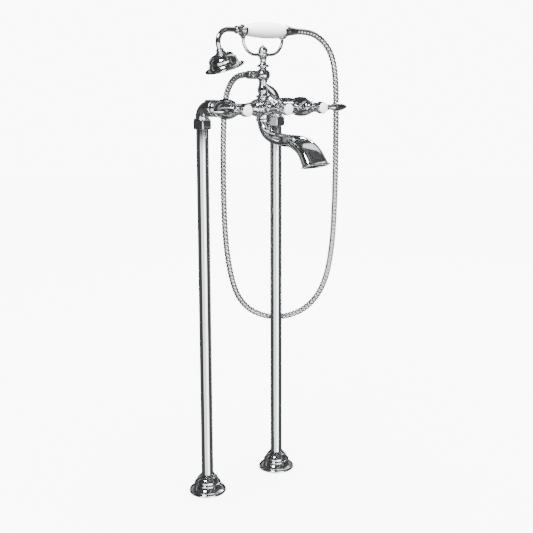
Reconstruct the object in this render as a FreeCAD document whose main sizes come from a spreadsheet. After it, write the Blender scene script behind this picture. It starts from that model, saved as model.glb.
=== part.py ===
"""Floor standing bath filler: two floor risers, a mixer body with three lever valves, a spout, a cradle,
and a handset on a ribbed hose. Millimetres, +Z up, origin on the floor midway between the risers.
The bath is in front of the risers, towards -Y."""

import FreeCAD, Part

import math
import os
import re

import Sketcher
from FreeCAD import Placement, Rotation, Vector

SIZES = {
    # where the main axes lie
    "riser_spacing": 200.0,
    "axis_height": 870.0,
    "body_forward": 83.6,
    # clearances
    "assembly_fit": 0.05,
    "running_fit": 0.05,
    "turning_gap": 0.3,
    "loose_fit": 0.3,
    # details shared by several pieces
    "small_step": 1.0,
    "edge_round_r": 1.2,
    "bead_round": 0.55,
    "nut_corner": 0.57,
    "nut_face": 0.49,
    "nut_bevel": 0.045,
    "nut_groove": 0.8,
    "groove_width": 1.2,
    # floor plates
    "plate_r": 33.0,
    "plate_thick": 6.0,
    "boss_height": 30.0,
    "supply_r": 7.6,
    "screw_pitch": 50.0,
    "screw_hole_r": 2.75,
    "grub_r": 2.5,
    "grub_height": 20.0,
    "grub_depth": 3.0,
    # escutcheons
    "foot_r": 41.5,
    "foot_height": 6.5,
    "skirt_r": 37.5,
    "tier_r": 29.0,
    "tier_low": 17.0,
    "tier_high": 21.5,
    "dome_r": 26.0,
    "dome_low": 23.0,
    "dome_top_r": 17.5,
    "dome_high": 36.0,
    "escutcheon_height": 39.5,
    "escutcheon_wall": 1.8,
    "ring_thick": 2.4,
    "ring_section": 1.5,
    # risers and their nuts
    "riser_od": 26.9,
    "riser_wall": 2.0,
    "riser_nut_flats": 36.8,
    "riser_nut_height": 20.4,
    "nut_floor": 3.0,
    "seal_thick": 3.0,
    "spigot_r": 15.7,
    "spigot_depth": 11.0,
    "riser_socket": 8.0,
    # elbows and unions
    "elbow_r": 14.5,
    "elbow_way_r": 10.5,
    "elbow_bend_r": 23.0,
    "elbow_collar": 2.3,
    "elbow_collar_r": 17.0,
    "union_flats": 35.6,
    "union_thread_r": 15.9,
    "union_flange": 3.0,
    "union_wall": 4.0,
    "washer_thick": 2.0,
    # mixer body
    "bulb_r": 21.5,
    "bulb_lead": 4.4,
    "bulb_back_r": 14.0,
    "bulb_back_length": 28.0,
    "bulb_front_length": 33.0,
    "tail_neck": 2.0,
    "tail_ring": 7.5,
    "tail_ring_r": 16.8,
    "tail_thread": 15.3,
    "seat_r": 12.6,
    "barrel_r": 20.2,
    "barrel_band_r": 21.0,
    "barrel_band": 2.4,
    "barrel_half": 12.5,
    "barrel_bead": 5.5,
    "barrel_bead_r": 17.5,
    "arm_bead": 5.0,
    "arm_bead_r": 15.6,
    "arm_root_r": 14.6,
    "arm_r": 10.3,
    "arm_neck": 54.0,
    "waterway_r": 6.0,
    "tail_way_r": 8.0,
    "bead_step": 1.5,
    "diverter_seat": 28.4,
    "diverter_boss_r": 17.0,
    "diverter_neck_r": 14.6,
    "diverter_neck": 4.0,
    "diverter_cove_r": 40.0,
    "spout_boss_r": 14.3,
    "bore_past": 10.0,
    # valves
    "cartridge_r": 10.8,
    "cartridge_length": 25.0,
    "nose_r": 6.9,
    "nose_length": 6.0,
    "bonnet_length": 26.0,
    "diverter_bonnet_length": 40.7,
    "bonnet_neck_r": 8.6,
    "bonnet_front_r": 10.2,
    "bonnet_bead": 6.0,
    "bonnet_rim": 2.0,
    "bonnet_cove": 7.0,
    "bonnet_cove_r": 9.0,
    "bonnet_front": 3.0,
    "bonnet_front_cove_r": 6.0,
    "stem_r": 4.0,
    "stem_reach": 20.0,
    # levers
    "hub_length": 13.7,
    "hub_back_r": 9.4,
    "hub_r": 13.0,
    "hub_round": 5.0,
    "hub_web": 5.0,
    "hub_recess_r": 8.0,
    "lever_reach": 76.0,
    "lever_root": 9.5,
    "lever_flare": 0.6,
    "lever_neck_r": 4.0,
    "lever_collar": 21.0,
    "lever_collar_width": 3.6,
    "lever_collar_r": 5.4,
    "lever_start": 27.0,
    "lever_belly": 46.0,
    "lever_belly_r": 9.0,
    "lever_tip_r": 1.0,
    "screw_r": 2.0,
    "screw_length": 9.0,
    "screw_head_r": 4.4,
    "screw_head": 3.0,
    "button_r": 11.2,
    "button_thick": 2.6,
    "button_crown": 1.2,
    "rim_wall": 1.3,
    "rim_lip": 1.5,
    "rim_height": 3.2,
    # spout and its collar
    "spout_r": 12.5,
    "spout_way_r": 9.0,
    "spout_flange_r": 13.3,
    "spout_flange": 2.2,
    "spout_spigot_r": 10.3,
    "spout_spigot": 10.0,
    "spout_drop": 21.5,
    "collar_r": 15.8,
    "collar_height": 7.5,
    "collar_round": 1.2,
    "seal_share": 0.5,
    "seal_place": 0.4,
    "spout_wall": 2.2,
    "mouth_width": 58.0,
    "mouth_depth": 34.0,
    "mouth_reach": 170.8,
    "mouth_drop": 84.2,
    "mouth_tilt": 71.0,
    "lip_thick": 2.6,
    "lip_proud": 2.4,
    # column above the mixer body
    "column_boss_r": 12.8,
    "column_base": 26.6,
    "column_flange": 4.5,
    "column_flange_r": 14.6,
    "column_nut_r": 12.0,
    "column_nut_end_r": 9.6,
    "column_nut_height": 20.4,
    "column_thread_r": 7.0,
    "column_stub": 7.0,
    "column_neck": 6.6,
    "column_neck_r": 9.3,
    "ball_r": 15.0,
    "ball_neck_r": 7.2,
    "ball_top": 16.0,
    "hose_way_r": 4.5,
    "outlet_r": 7.5,
    "outlet_reach": 34.6,
    "rear_nut_r": 9.2,
    "rear_nut_length": 31.1,
    "rear_thread": 10.0,
    "rear_nut_round": 4.0,
    "rear_nut_round_r": 7.0,
    "hose_seat": 0.6,
    # cradle
    "post_stub_r": 4.9,
    "post_stub": 7.0,
    "post_collar_r": 11.6,
    "post_collar": 5.6,
    "post_foot_r": 8.7,
    "post_cove_r": 9.0,
    "post_waist_r": 6.6,
    "post_waist": 12.6,
    "cup_r": 12.8,
    "cup_height": 31.0,
    "cup_rim": 6.5,
    "cup_cove_r": 16.0,
    "cup_round": 2.0,
    "fork_rod_r": 3.4,
    "fork_below": 5.0,
    "fork_bend_r": 32.0,
    "saddle_reach": 51.5,
    "saddle_width": 8.0,
    "saddle_thick": 3.4,
    "saddle_boss_r": 4.6,
    "saddle_boss": 1.7,
    "saddle_horn": 5.0,
    "saddle_horn_r": 20.0,
    "saddle_open": 0.6,
    "finial_spigot_r": 4.0,
    "finial_spigot": 1.0,
    "finial_foot_r": 9.2,
    "finial_r": 10.2,
    "finial_belly": 3.8,
    "finial_height": 17.0,
    "finial_tip_r": 1.2,
    # handset, along X from the middle of the cradle
    "grip_left": 52.0,
    "grip_right": 57.8,
    "grip_crown": 14.0,
    "grip_left_r": 10.4,
    "grip_r": 16.8,
    "grip_right_r": 12.6,
    "tube_r": 6.0,
    "tube_bore_r": 4.2,
    "grip_ring": 6.9,
    "grip_ring_r": 13.4,
    "ferrule_length": 19.4,
    "ferrule_r": 8.3,
    "ferrule_flange": 3.6,
    "ferrule_flange_r": 10.4,
    "ferrule_round": 2.0,
    "gooseneck_r": 5.4,
    "gooseneck_way_r": 3.8,
    "gooseneck_bend_r": 25.0,
    "gooseneck_run": 18.1,
    "gooseneck_turn": 109.0,
    "gooseneck_drop": 6.7,
    "hose_nut_r": 11.0,
    "hose_nut_end_r": 7.6,
    "hose_nut_length": 26.6,
    "hose_nut_band": 3.0,
    "tube_thread": 10.0,
    # hand shower head, along its tilted axis
    "rose_collar": 10.5,
    "rose_collar_r": 8.0,
    "rose_step": 1.5,
    "rose_shoulder_r": 12.0,
    "rose_shoulder": 4.0,
    "rose_dome_r": 29.5,
    "rose_dome": 12.0,
    "rose_waist": 24.0,
    "rose_rim_r": 41.5,
    "rose_depth": 40.2,
    "rose_lip": 2.4,
    "rose_wall": 1.8,
    "face_thick": 2.0,
    "face_recess": 0.8,
    "face_ledge": 1.6,
    "jet_r": 0.8,
    "jet_pitch": 8.0,
    "jets_in_ring": 6.0,
    # hose
    "hose_d": 14.0,
    "hose_bore_r": 4.0,
    "hose_rib_pitch": 8.7,
    "hose_rib_depth": 1.2,
}

# Outlines are drawn anticlockwise, so a bulge is a left turn and a hollow is a right turn.
BULGE = 1
HOLLOW = -1

JET_RINGS = 4
SPOUT_RING_POINTS = 24
SPOUT_ROWS = 24
MOUTH_SQUARENESS = 2.85
# A rib of the hose: share of the pitch, and whether the surface is at the rib's top there.
RIB_SHAPE = ((0.0, False), (0.16, False), (0.34, True), (0.82, True))
# The share of a straight run that a bend of the hose may take up at each of its ends.
BEND_SHARE = 0.45
# How far the hose's bore may be from its section times its length.
BORE_TOLERANCE = 0.002

UPRIGHT = Rotation()
FORWARD = Rotation(Vector(1, 0, 0), 90)
BACKWARD = Rotation(Vector(1, 0, 0), -90)
TO_RIGHT = Rotation(Vector(0, 1, 0), 90)
TO_LEFT = Rotation(Vector(0, 1, 0), -90)
DOWNWARD = Rotation(Vector(1, 0, 0), 180)
LEVER_TURN = {"hot": 180, "cold": 0, "diverter": 135}
SIDES = {"hot": "-riser_spacing / 2", "cold": "riser_spacing / 2"}

RISER_R = "(riser_od / 2)"
NUT_TOP = "(axis_height - elbow_bend_r - elbow_collar)"
NUT_BASE = f"({NUT_TOP} - riser_nut_height)"
RISER_TOP = f"({NUT_TOP} - spigot_depth + riser_socket)"
TAIL = (
    "(body_forward + bulb_lead - bulb_back_length - tail_neck - tail_ring - tail_thread)"
)
SEAT = "(body_forward + bulb_lead + bulb_front_length)"
DIVERTER_SEAT = "(body_forward + diverter_seat)"
COLUMN_TOP = "(axis_height + column_base)"
BALL_FOOT = f"({COLUMN_TOP} + column_nut_height)"
BALL_CENTRE = f"({BALL_FOOT} + column_neck + ball_r)"
POST_FOOT = f"({BALL_CENTRE} + ball_top)"
FORK_Z = f"({POST_FOOT} + cup_height - fork_below)"
SPOUT_FACE = "(axis_height - spout_drop)"
HOSE_EXIT = "(body_forward - outlet_reach - rear_nut_length + rear_thread)"

doc = FreeCAD.newDocument("bath_filler")
sheet = doc.addObject("Spreadsheet::Sheet", "Sizes")
for row, (alias, value) in enumerate(SIZES.items(), start=1):
    sheet.set(f"A{row}", alias)
    sheet.set(f"B{row}", str(value))
    sheet.setAlias(f"B{row}", alias)
doc.recompute()

finished = []


def full(expression):
    """Puts the sheet's name in front of each alias in an expression."""
    return re.sub(
        r"[a-z][a-z_]*",
        lambda word: f"Sizes.{word.group()}" if word.group() in SIZES else word.group(),
        expression,
    )


def number(expression):
    """The value of an expression of the sheet's aliases."""
    return float(sheet.evalExpression(full(expression)))


def belly(drop, length):
    """Radius of an arc that leaves its widest point along the axis and drops over a length."""
    return f"(({drop}) / 2 + ({length})^2 / (2 * ({drop})))"


def place(item, x="0", y="0", z="0", turn=UPRIGHT):
    """Stands an object at a point and ties the point to the sheet."""
    item.Placement = Placement(Vector(number(x), number(y), number(z)), turn)
    for axis, expression in zip("xyz", (x, y, z)):
        item.setExpression(f"Placement.Base.{axis}", full(expression))
    return item


def finish(item, label):
    """Names a finished sub-part."""
    item.Label = label
    finished.append(item)
    return item


def new_body(label):
    """An empty body."""
    body = doc.addObject("PartDesign::Body", "Body")
    body.Label = label
    return body


def own_plane(body, role):
    """One of the body's own origin planes."""
    return next(item for item in body.Origin.OriginFeatures if item.Role == role)


def arc_between(start, end, radius, side):
    """An arc of less than half a circle from start to end, turning left for +1 and right for -1."""
    chord = end - start
    half = chord.Length / 2
    rise = math.sqrt(max(radius**2 - half**2, 0.0))
    normal = Vector(-chord.y, chord.x, 0).normalize() * side
    centre = (start + end) / 2 + normal * rise
    first, last = (start, end) if side == BULGE else (end, start)
    angles = [
        math.atan2(point.y - centre.y, point.x - centre.x) for point in (first, last)
    ]
    if angles[1] < angles[0]:
        angles[1] += 2 * math.pi
    circle = Part.Circle(centre, Vector(0, 0, 1), max(radius, half))
    return Part.ArcOfCircle(circle, angles[0], angles[1])


def outline(body, corners, plane="XZ_Plane", closed=True):
    """A sketch of lines and arcs. A corner is (across, along) and, for an arc that ends there,
    (across, along, radius, side). Each corner is held by its two distances from the origin."""
    sketch = body.newObject("Sketcher::SketchObject", "Outline")
    sketch.AttachmentSupport = (own_plane(body, plane), [""])
    sketch.MapMode = "FlatFace"
    points = [Vector(number(corner[0]), number(corner[1]), 0) for corner in corners]
    first = 0 if closed else 1
    shapes, ends = [], []
    for index in range(first, len(corners)):
        start, end = points[index - 1], points[index]
        if len(corners[index]) == 4:
            radius, side = corners[index][2:]
            shapes.append(arc_between(start, end, number(radius), side))
            ends.append((1, 2) if side == BULGE else (2, 1))
        else:
            shapes.append(Part.LineSegment(start, end))
            ends.append((1, 2))
    sketch.addGeometry(shapes, False)
    rules, texts = [], []

    def hold(kind, shape, end, point, expression):
        rules.append(Sketcher.Constraint(kind, -1, 1, shape, end, point))
        texts.append((len(rules) - 1, expression))

    for shape, (start_end, far_end) in enumerate(ends):
        corner, point = corners[shape + first], points[shape + first]
        if closed or shape:
            before = (shape - 1) % len(ends)
            rules.append(
                Sketcher.Constraint(
                    "Coincident", before, ends[before][1], shape, start_end
                )
            )
        else:
            hold("DistanceX", shape, start_end, points[0].x, corners[0][0])
            hold("DistanceY", shape, start_end, points[0].y, corners[0][1])
        hold("DistanceX", shape, far_end, point.x, corner[0])
        hold("DistanceY", shape, far_end, point.y, corner[1])
        if len(corner) == 4:
            rules.append(Sketcher.Constraint("Radius", shape, number(corner[2])))
            texts.append((len(rules) - 1, corner[2]))
    sketch.addConstraint(rules)
    for index, expression in texts:
        sketch.setExpression(f"Constraints[{index}]", full(expression))
    return sketch


def revolve(body, sketch, axis="V_Axis", kind="PartDesign::Revolution"):
    """Turns a sketch right round one of its own axes."""
    feature = body.newObject(kind, "Turning")
    feature.Profile = sketch
    feature.ReferenceAxis = (sketch, [axis])
    feature.Angle = 360
    sketch.Visibility = False
    return feature


def turned(label, corners, **where):
    """A turned piece: (radius, height) corners about its own Z axis."""
    body = new_body(label)
    revolve(body, outline(body, corners))
    return place(body, **where)


def tube(label, inner, outer, length, **where):
    """A plain ring or tube."""
    corners = [(inner, "0"), (outer, "0"), (outer, length), (inner, length)]
    return turned(label, corners, **where)


def rod(label, radius, length, **where):
    """A plain cylinder from its foot."""
    item = doc.addObject("Part::Cylinder", "Rod")
    item.Label = label
    item.setExpression("Radius", full(radius))
    item.setExpression("Height", full(length))
    return place(item, **where)


def pipe(label, spine, radius, plane, start_plane, **where):
    """A round bar along an open outline that starts at the body's origin, square to start_plane."""
    body = new_body(label)
    path = outline(body, spine, plane, closed=False)
    section = body.newObject("Sketcher::SketchObject", "Section")
    section.AttachmentSupport = (own_plane(body, start_plane), [""])
    section.MapMode = "FlatFace"
    circle = Part.Circle(Vector(), Vector(0, 0, 1), number(radius))
    section.addGeometry([circle], False)
    section.addConstraint(Sketcher.Constraint("Coincident", 0, 3, -1, 1))
    rule = section.addConstraint(Sketcher.Constraint("Radius", 0, number(radius)))
    section.setExpression(f"Constraints[{rule}]", full(radius))
    doc.recompute()
    bend = body.newObject("PartDesign::AdditivePipe", "Bend")
    bend.Profile = section
    bend.Spine = (path, [f"Edge{index + 1}" for index in range(len(spine) - 1)])
    bend.Transition = "Transformed"
    return place(body, **where)


def joined(label, pieces):
    """Several solids that are one casting."""
    item = doc.addObject("Part::MultiFuse", "Joined")
    item.Label = label
    item.Shapes = pieces
    item.Refine = False
    return item


def cut(label, solid, tools):
    """A solid less its bores."""
    item = doc.addObject("Part::Cut", "Cut")
    item.Label = label
    item.Base = solid
    item.Tool = tools[0] if len(tools) == 1 else joined(f"{label} bores", tools)
    item.Refine = False
    return item


def hexagonal(label, flats, height, shape, **where):
    """A nut: a turned blank cut to six flats."""
    bar = doc.addObject("Part::Prism", "Hexagon")
    bar.Polygon = 6
    bar.setExpression("Circumradius", full(f"{flats} / sqrt(3)"))
    bar.setExpression("Height", full(height))
    place(bar, **where)
    item = doc.addObject("Part::Common", "Nut")
    item.Base = bar
    item.Tool = turned(f"{label} blank", shape, **where)
    item.Refine = False
    return finish(item, label)


def nut_blank(flats, height, inside):
    """The turned blank of a nut, chamfered at both ends, round its inside corners."""
    corner, side = f"({flats} * nut_corner)", f"({flats} * nut_face)"
    bevel = f"({flats} * nut_bevel)"
    return [
        (inside[0][0], "0"),
        (side, "0"),
        (corner, bevel),
        (corner, f"{height} - {bevel}"),
        (side, height),
        (inside[-1][0], height),
        *reversed(inside[1:-1]),
    ]


def floor_end(side, x):
    """A floor plate with its boss, the riser over the boss and the escutcheon round both."""
    boss_r = f"({RISER_R} - riser_wall - assembly_fit)"
    plate = turned(
        f"{side} plate blank",
        [
            ("supply_r", "0"),
            ("plate_r", "0"),
            ("plate_r", "plate_thick"),
            (boss_r, "plate_thick"),
            (boss_r, "boss_height"),
            ("supply_r", "boss_height"),
        ],
        x=x,
    )
    holes = [
        rod(
            f"{side} screw hole",
            "screw_hole_r",
            "plate_thick * 3",
            x=x,
            y=f"{end} * screw_pitch / 2",
            z="-plate_thick",
        )
        for end in ("-1", "1")
    ]
    grub_y = f"({RISER_R} - riser_wall - grub_depth)"
    grub_hole = rod(
        f"{side} grub hole",
        "grub_r + assembly_fit",
        "grub_depth * 6",
        x=x,
        y=grub_y,
        z="grub_height",
        turn=BACKWARD,
    )
    finish(
        cut(f"{side} plate", plate, [*holes, grub_hole]),
        f"floor_plate_{side}",
    )

    blank = tube(
        f"{side} riser blank",
        f"({RISER_R} - riser_wall)",
        RISER_R,
        f"({RISER_TOP} - plate_thick)",
        x=x,
        z="plate_thick",
    )
    riser_hole = rod(
        f"{side} riser hole",
        "grub_r + assembly_fit",
        "grub_depth * 6",
        x=x,
        y=grub_y,
        z="grub_height",
        turn=BACKWARD,
    )
    finish(cut(f"{side} riser", blank, [riser_hole]), f"riser_{side}")

    bore = f"({RISER_R} + loose_fit)"
    groove = f"({RISER_R} + assembly_fit + ring_section)"
    ring_low = "(dome_high - ring_thick)"
    wall = "escutcheon_wall"
    corners = [
        (f"foot_r - {wall}", "0"),
        ("foot_r", "0"),
        ("foot_r", "foot_height / 2"),
        ("skirt_r", "foot_height", "foot_height * 0.8", BULGE),
        ("skirt_r", "foot_height + small_step"),
        ("tier_r", "tier_low", "tier_low * 1.1", HOLLOW),
        (
            "tier_r",
            "tier_high",
            "(tier_high - tier_low) * 0.6",
            BULGE,
        ),
        ("dome_r", "tier_high"),
        ("dome_r", "dome_low"),
        (
            "dome_top_r",
            "dome_high",
            belly("dome_r - dome_top_r", "dome_high - dome_low"),
            BULGE,
        ),
        ("dome_top_r - small_step", "escutcheon_height"),
        (bore, "escutcheon_height"),
        (bore, "dome_high"),
        (groove, "dome_high"),
        (groove, ring_low),
        (f"dome_top_r - {wall}", f"{ring_low} - small_step"),
        (f"dome_r - {wall} - small_step", "dome_low"),
        (f"tier_r - {wall} - 3 * small_step", "tier_low"),
        (f"skirt_r - {wall} - small_step", "foot_height"),
    ]
    finish(turned(f"{side} escutcheon", corners, x=x), f"escutcheon_{side}")


def riser_head(side, x):
    """The nut, elbow and union nut that turn a riser forward into the mixer body."""
    thread = "(spigot_r + assembly_fit)"
    bore = f"({RISER_R} + assembly_fit)"
    inside = [
        (bore, "0"),
        (bore, "nut_floor"),
        (thread, "nut_floor"),
        (thread, "riser_nut_height"),
    ]
    hexagonal(
        f"riser_nut_{side}",
        "riser_nut_flats",
        "riser_nut_height",
        nut_blank("riser_nut_flats", "riser_nut_height", inside),
        x=x,
        z=NUT_BASE,
    )

    turn = Rotation(Vector(0, 0, 1), 180)
    reach = f"({TAIL} - washer_thick)"
    level = "(elbow_collar + elbow_bend_r)"
    spine = [
        ("0", "0"),
        ("0", "elbow_collar"),
        ("elbow_bend_r", level, "elbow_bend_r", HOLLOW),
        (reach, level),
    ]
    ways = {"x": x, "z": NUT_TOP, "turn": turn}
    bend = pipe(
        f"{side} elbow bend", spine, "elbow_r", "YZ_Plane", "XY_Plane", **ways
    )
    way = pipe(
        f"{side} elbow way", spine, "elbow_way_r", "YZ_Plane", "XY_Plane", **ways
    )
    foot = turned(
        f"{side} elbow foot",
        [
            ("0", "0"),
            ("spigot_r", "0"),
            ("spigot_r", "spigot_depth"),
            ("elbow_collar_r", "spigot_depth"),
            (
                "elbow_collar_r",
                "spigot_depth + elbow_collar",
                "elbow_collar * 0.6",
                BULGE,
            ),
            ("0", "spigot_depth + elbow_collar"),
        ],
        x=x,
        z=f"{NUT_TOP} - spigot_depth",
    )
    flange = rod(
        f"{side} elbow flange",
        "union_thread_r",
        "union_flange",
        x=x,
        y=f"-({reach} - union_flange)",
        z="axis_height",
        turn=FORWARD,
    )
    socket = rod(
        f"{side} elbow socket",
        bore,
        "riser_socket + assembly_fit",
        x=x,
        z=f"{NUT_TOP} - spigot_depth",
    )
    foot_way = rod(
        f"{side} foot way",
        "elbow_way_r",
        "spigot_depth + assembly_fit",
        x=x,
        z=f"{NUT_TOP} - spigot_depth",
    )
    elbow = joined(f"{side} elbow casting", [bend, foot, flange])
    finish(cut(f"{side} elbow", elbow, [way, socket, foot_way]), f"elbow_{side}")

    nut_thread = "(union_thread_r + assembly_fit)"
    nut_bore = "(elbow_r + assembly_fit)"
    length = "(tail_thread + washer_thick + union_flange + union_wall - loose_fit)"
    inside = [
        (nut_bore, "0"),
        (nut_bore, "union_wall"),
        (nut_thread, "union_wall"),
        (nut_thread, length),
    ]
    hexagonal(
        f"union_nut_{side}",
        "union_flats",
        length,
        nut_blank("union_flats", length, inside),
        x=x,
        y=f"-({reach} - union_flange - union_wall)",
        z="axis_height",
        turn=FORWARD,
    )


def mixer_body():
    """The cast body: a valve bulb at each end of the cross arms, and the barrel between them."""
    castings, bores = [], []
    bulb_z = "(tail_thread + tail_ring + tail_neck)"
    for side, x in SIDES.items():
        ring_end = "(tail_thread + tail_ring)"
        castings.append(
            turned(
                f"{side} bulb",
                [
                    ("0", "0"),
                    ("union_thread_r", "0"),
                    ("union_thread_r", "tail_thread"),
                    ("tail_ring_r", "tail_thread"),
                    ("tail_ring_r", ring_end, "tail_ring * 0.8", BULGE),
                    ("bulb_back_r", ring_end),
                    ("bulb_back_r", bulb_z),
                    (
                        "bulb_r",
                        f"{bulb_z} + bulb_back_length",
                        belly("bulb_r - bulb_back_r", "bulb_back_length"),
                        BULGE,
                    ),
                    (
                        "seat_r",
                        f"{bulb_z} + bulb_back_length + bulb_front_length",
                        belly("bulb_r - seat_r", "bulb_front_length"),
                        BULGE,
                    ),
                    ("0", f"{bulb_z} + bulb_back_length + bulb_front_length"),
                ],
                x=x,
                y=f"-{TAIL}",
                z="axis_height",
                turn=FORWARD,
            )
        )
        bead_one = "(barrel_half + bead_step)"
        bead_two = f"({bead_one} + barrel_bead + small_step)"
        arm_start = f"({bead_two} + arm_bead + small_step)"
        castings.append(
            turned(
                f"{side} arm",
                [
                    ("0", "0"),
                    ("barrel_band_r", "0"),
                    ("barrel_band_r", "barrel_band"),
                    ("barrel_r", "barrel_band"),
                    ("barrel_r", "barrel_half"),
                    ("barrel_bead_r", bead_one),
                    (
                        "barrel_bead_r",
                        f"{bead_one} + barrel_bead",
                        "barrel_bead * bead_round",
                        BULGE,
                    ),
                    ("arm_bead_r", f"{bead_one} + barrel_bead"),
                    ("arm_bead_r", bead_two),
                    (
                        "arm_bead_r",
                        f"{bead_two} + arm_bead",
                        "arm_bead * bead_round",
                        BULGE,
                    ),
                    ("arm_root_r", arm_start),
                    (
                        "arm_r",
                        "arm_neck",
                        belly("arm_root_r - arm_r", f"arm_neck - {arm_start}"),
                        HOLLOW,
                    ),
                    ("arm_r", "riser_spacing / 2"),
                    ("0", "riser_spacing / 2"),
                ],
                y="-body_forward",
                z="axis_height",
                turn=TO_LEFT if side == "hot" else TO_RIGHT,
            )
        )
        bores.append(
            rod(
                f"{side} cartridge bore",
                "cartridge_r + assembly_fit",
                "cartridge_length + bore_past",
                x=x,
                y=f"-({SEAT} - cartridge_length)",
                z="axis_height",
                turn=FORWARD,
            )
        )
        bores.append(
            rod(
                f"{side} tail way",
                "tail_way_r",
                f"({SEAT} - {TAIL}) - small_step",
                x=x,
                y=f"-({TAIL} - small_step)",
                z="axis_height",
                turn=FORWARD,
            )
        )
    castings.append(
        turned(
            "column boss",
            [
                ("0", "0"),
                ("column_boss_r", "0"),
                ("column_boss_r", "column_base - column_flange - small_step"),
                ("column_flange_r", "column_base - column_flange"),
                (
                    "column_flange_r",
                    "column_base",
                    "column_flange * 0.7",
                    BULGE,
                ),
                ("0", "column_base"),
            ],
            y="-body_forward",
            z="axis_height",
        )
    )
    castings.append(
        turned(
            "spout boss",
            [
                ("0", "0"),
                ("spout_boss_r", "0"),
                ("spout_boss_r", f"axis_height - {SPOUT_FACE}"),
                ("0", f"axis_height - {SPOUT_FACE}"),
            ],
            y="-body_forward",
            z="axis_height",
            turn=DOWNWARD,
        )
    )
    castings.append(
        turned(
            "diverter boss",
            [
                ("0", "0"),
                ("diverter_boss_r", "0"),
                ("diverter_neck_r", "diverter_seat - diverter_neck", "diverter_cove_r", HOLLOW),
                ("seat_r", "diverter_seat"),
                ("0", "diverter_seat"),
            ],
            y="-body_forward",
            z="axis_height",
            turn=FORWARD,
        )
    )
    bores.append(
        rod(
            "cross way",
            "waterway_r",
            "riser_spacing",
            x="-riser_spacing / 2",
            y="-body_forward",
            z="axis_height",
            turn=TO_RIGHT,
        )
    )
    bores.append(
        rod(
            "diverter bore",
            "cartridge_r + assembly_fit",
            "cartridge_length + bore_past",
            y=f"-({DIVERTER_SEAT} - cartridge_length)",
            z="axis_height",
            turn=FORWARD,
        )
    )
    bores.append(
        rod(
            "spout socket",
            "spout_spigot_r + running_fit",
            "spout_spigot + 2 * small_step",
            y="-body_forward",
            z=f"{SPOUT_FACE} - small_step",
        )
    )
    bores.append(
        rod(
            "spout way",
            "tail_way_r",
            "spout_drop",
            y="-body_forward",
            z=SPOUT_FACE,
        )
    )
    bores.append(
        rod(
            "column socket",
            "column_thread_r + assembly_fit",
            "column_base / 2",
            y="-body_forward",
            z=f"{COLUMN_TOP} - column_stub - small_step",
        )
    )
    bores.append(
        rod(
            "column way",
            "hose_way_r",
            "column_base",
            y="-body_forward",
            z="axis_height",
        )
    )
    finish(cut("body", joined("body casting", castings), bores), "mixer_body")


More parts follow.
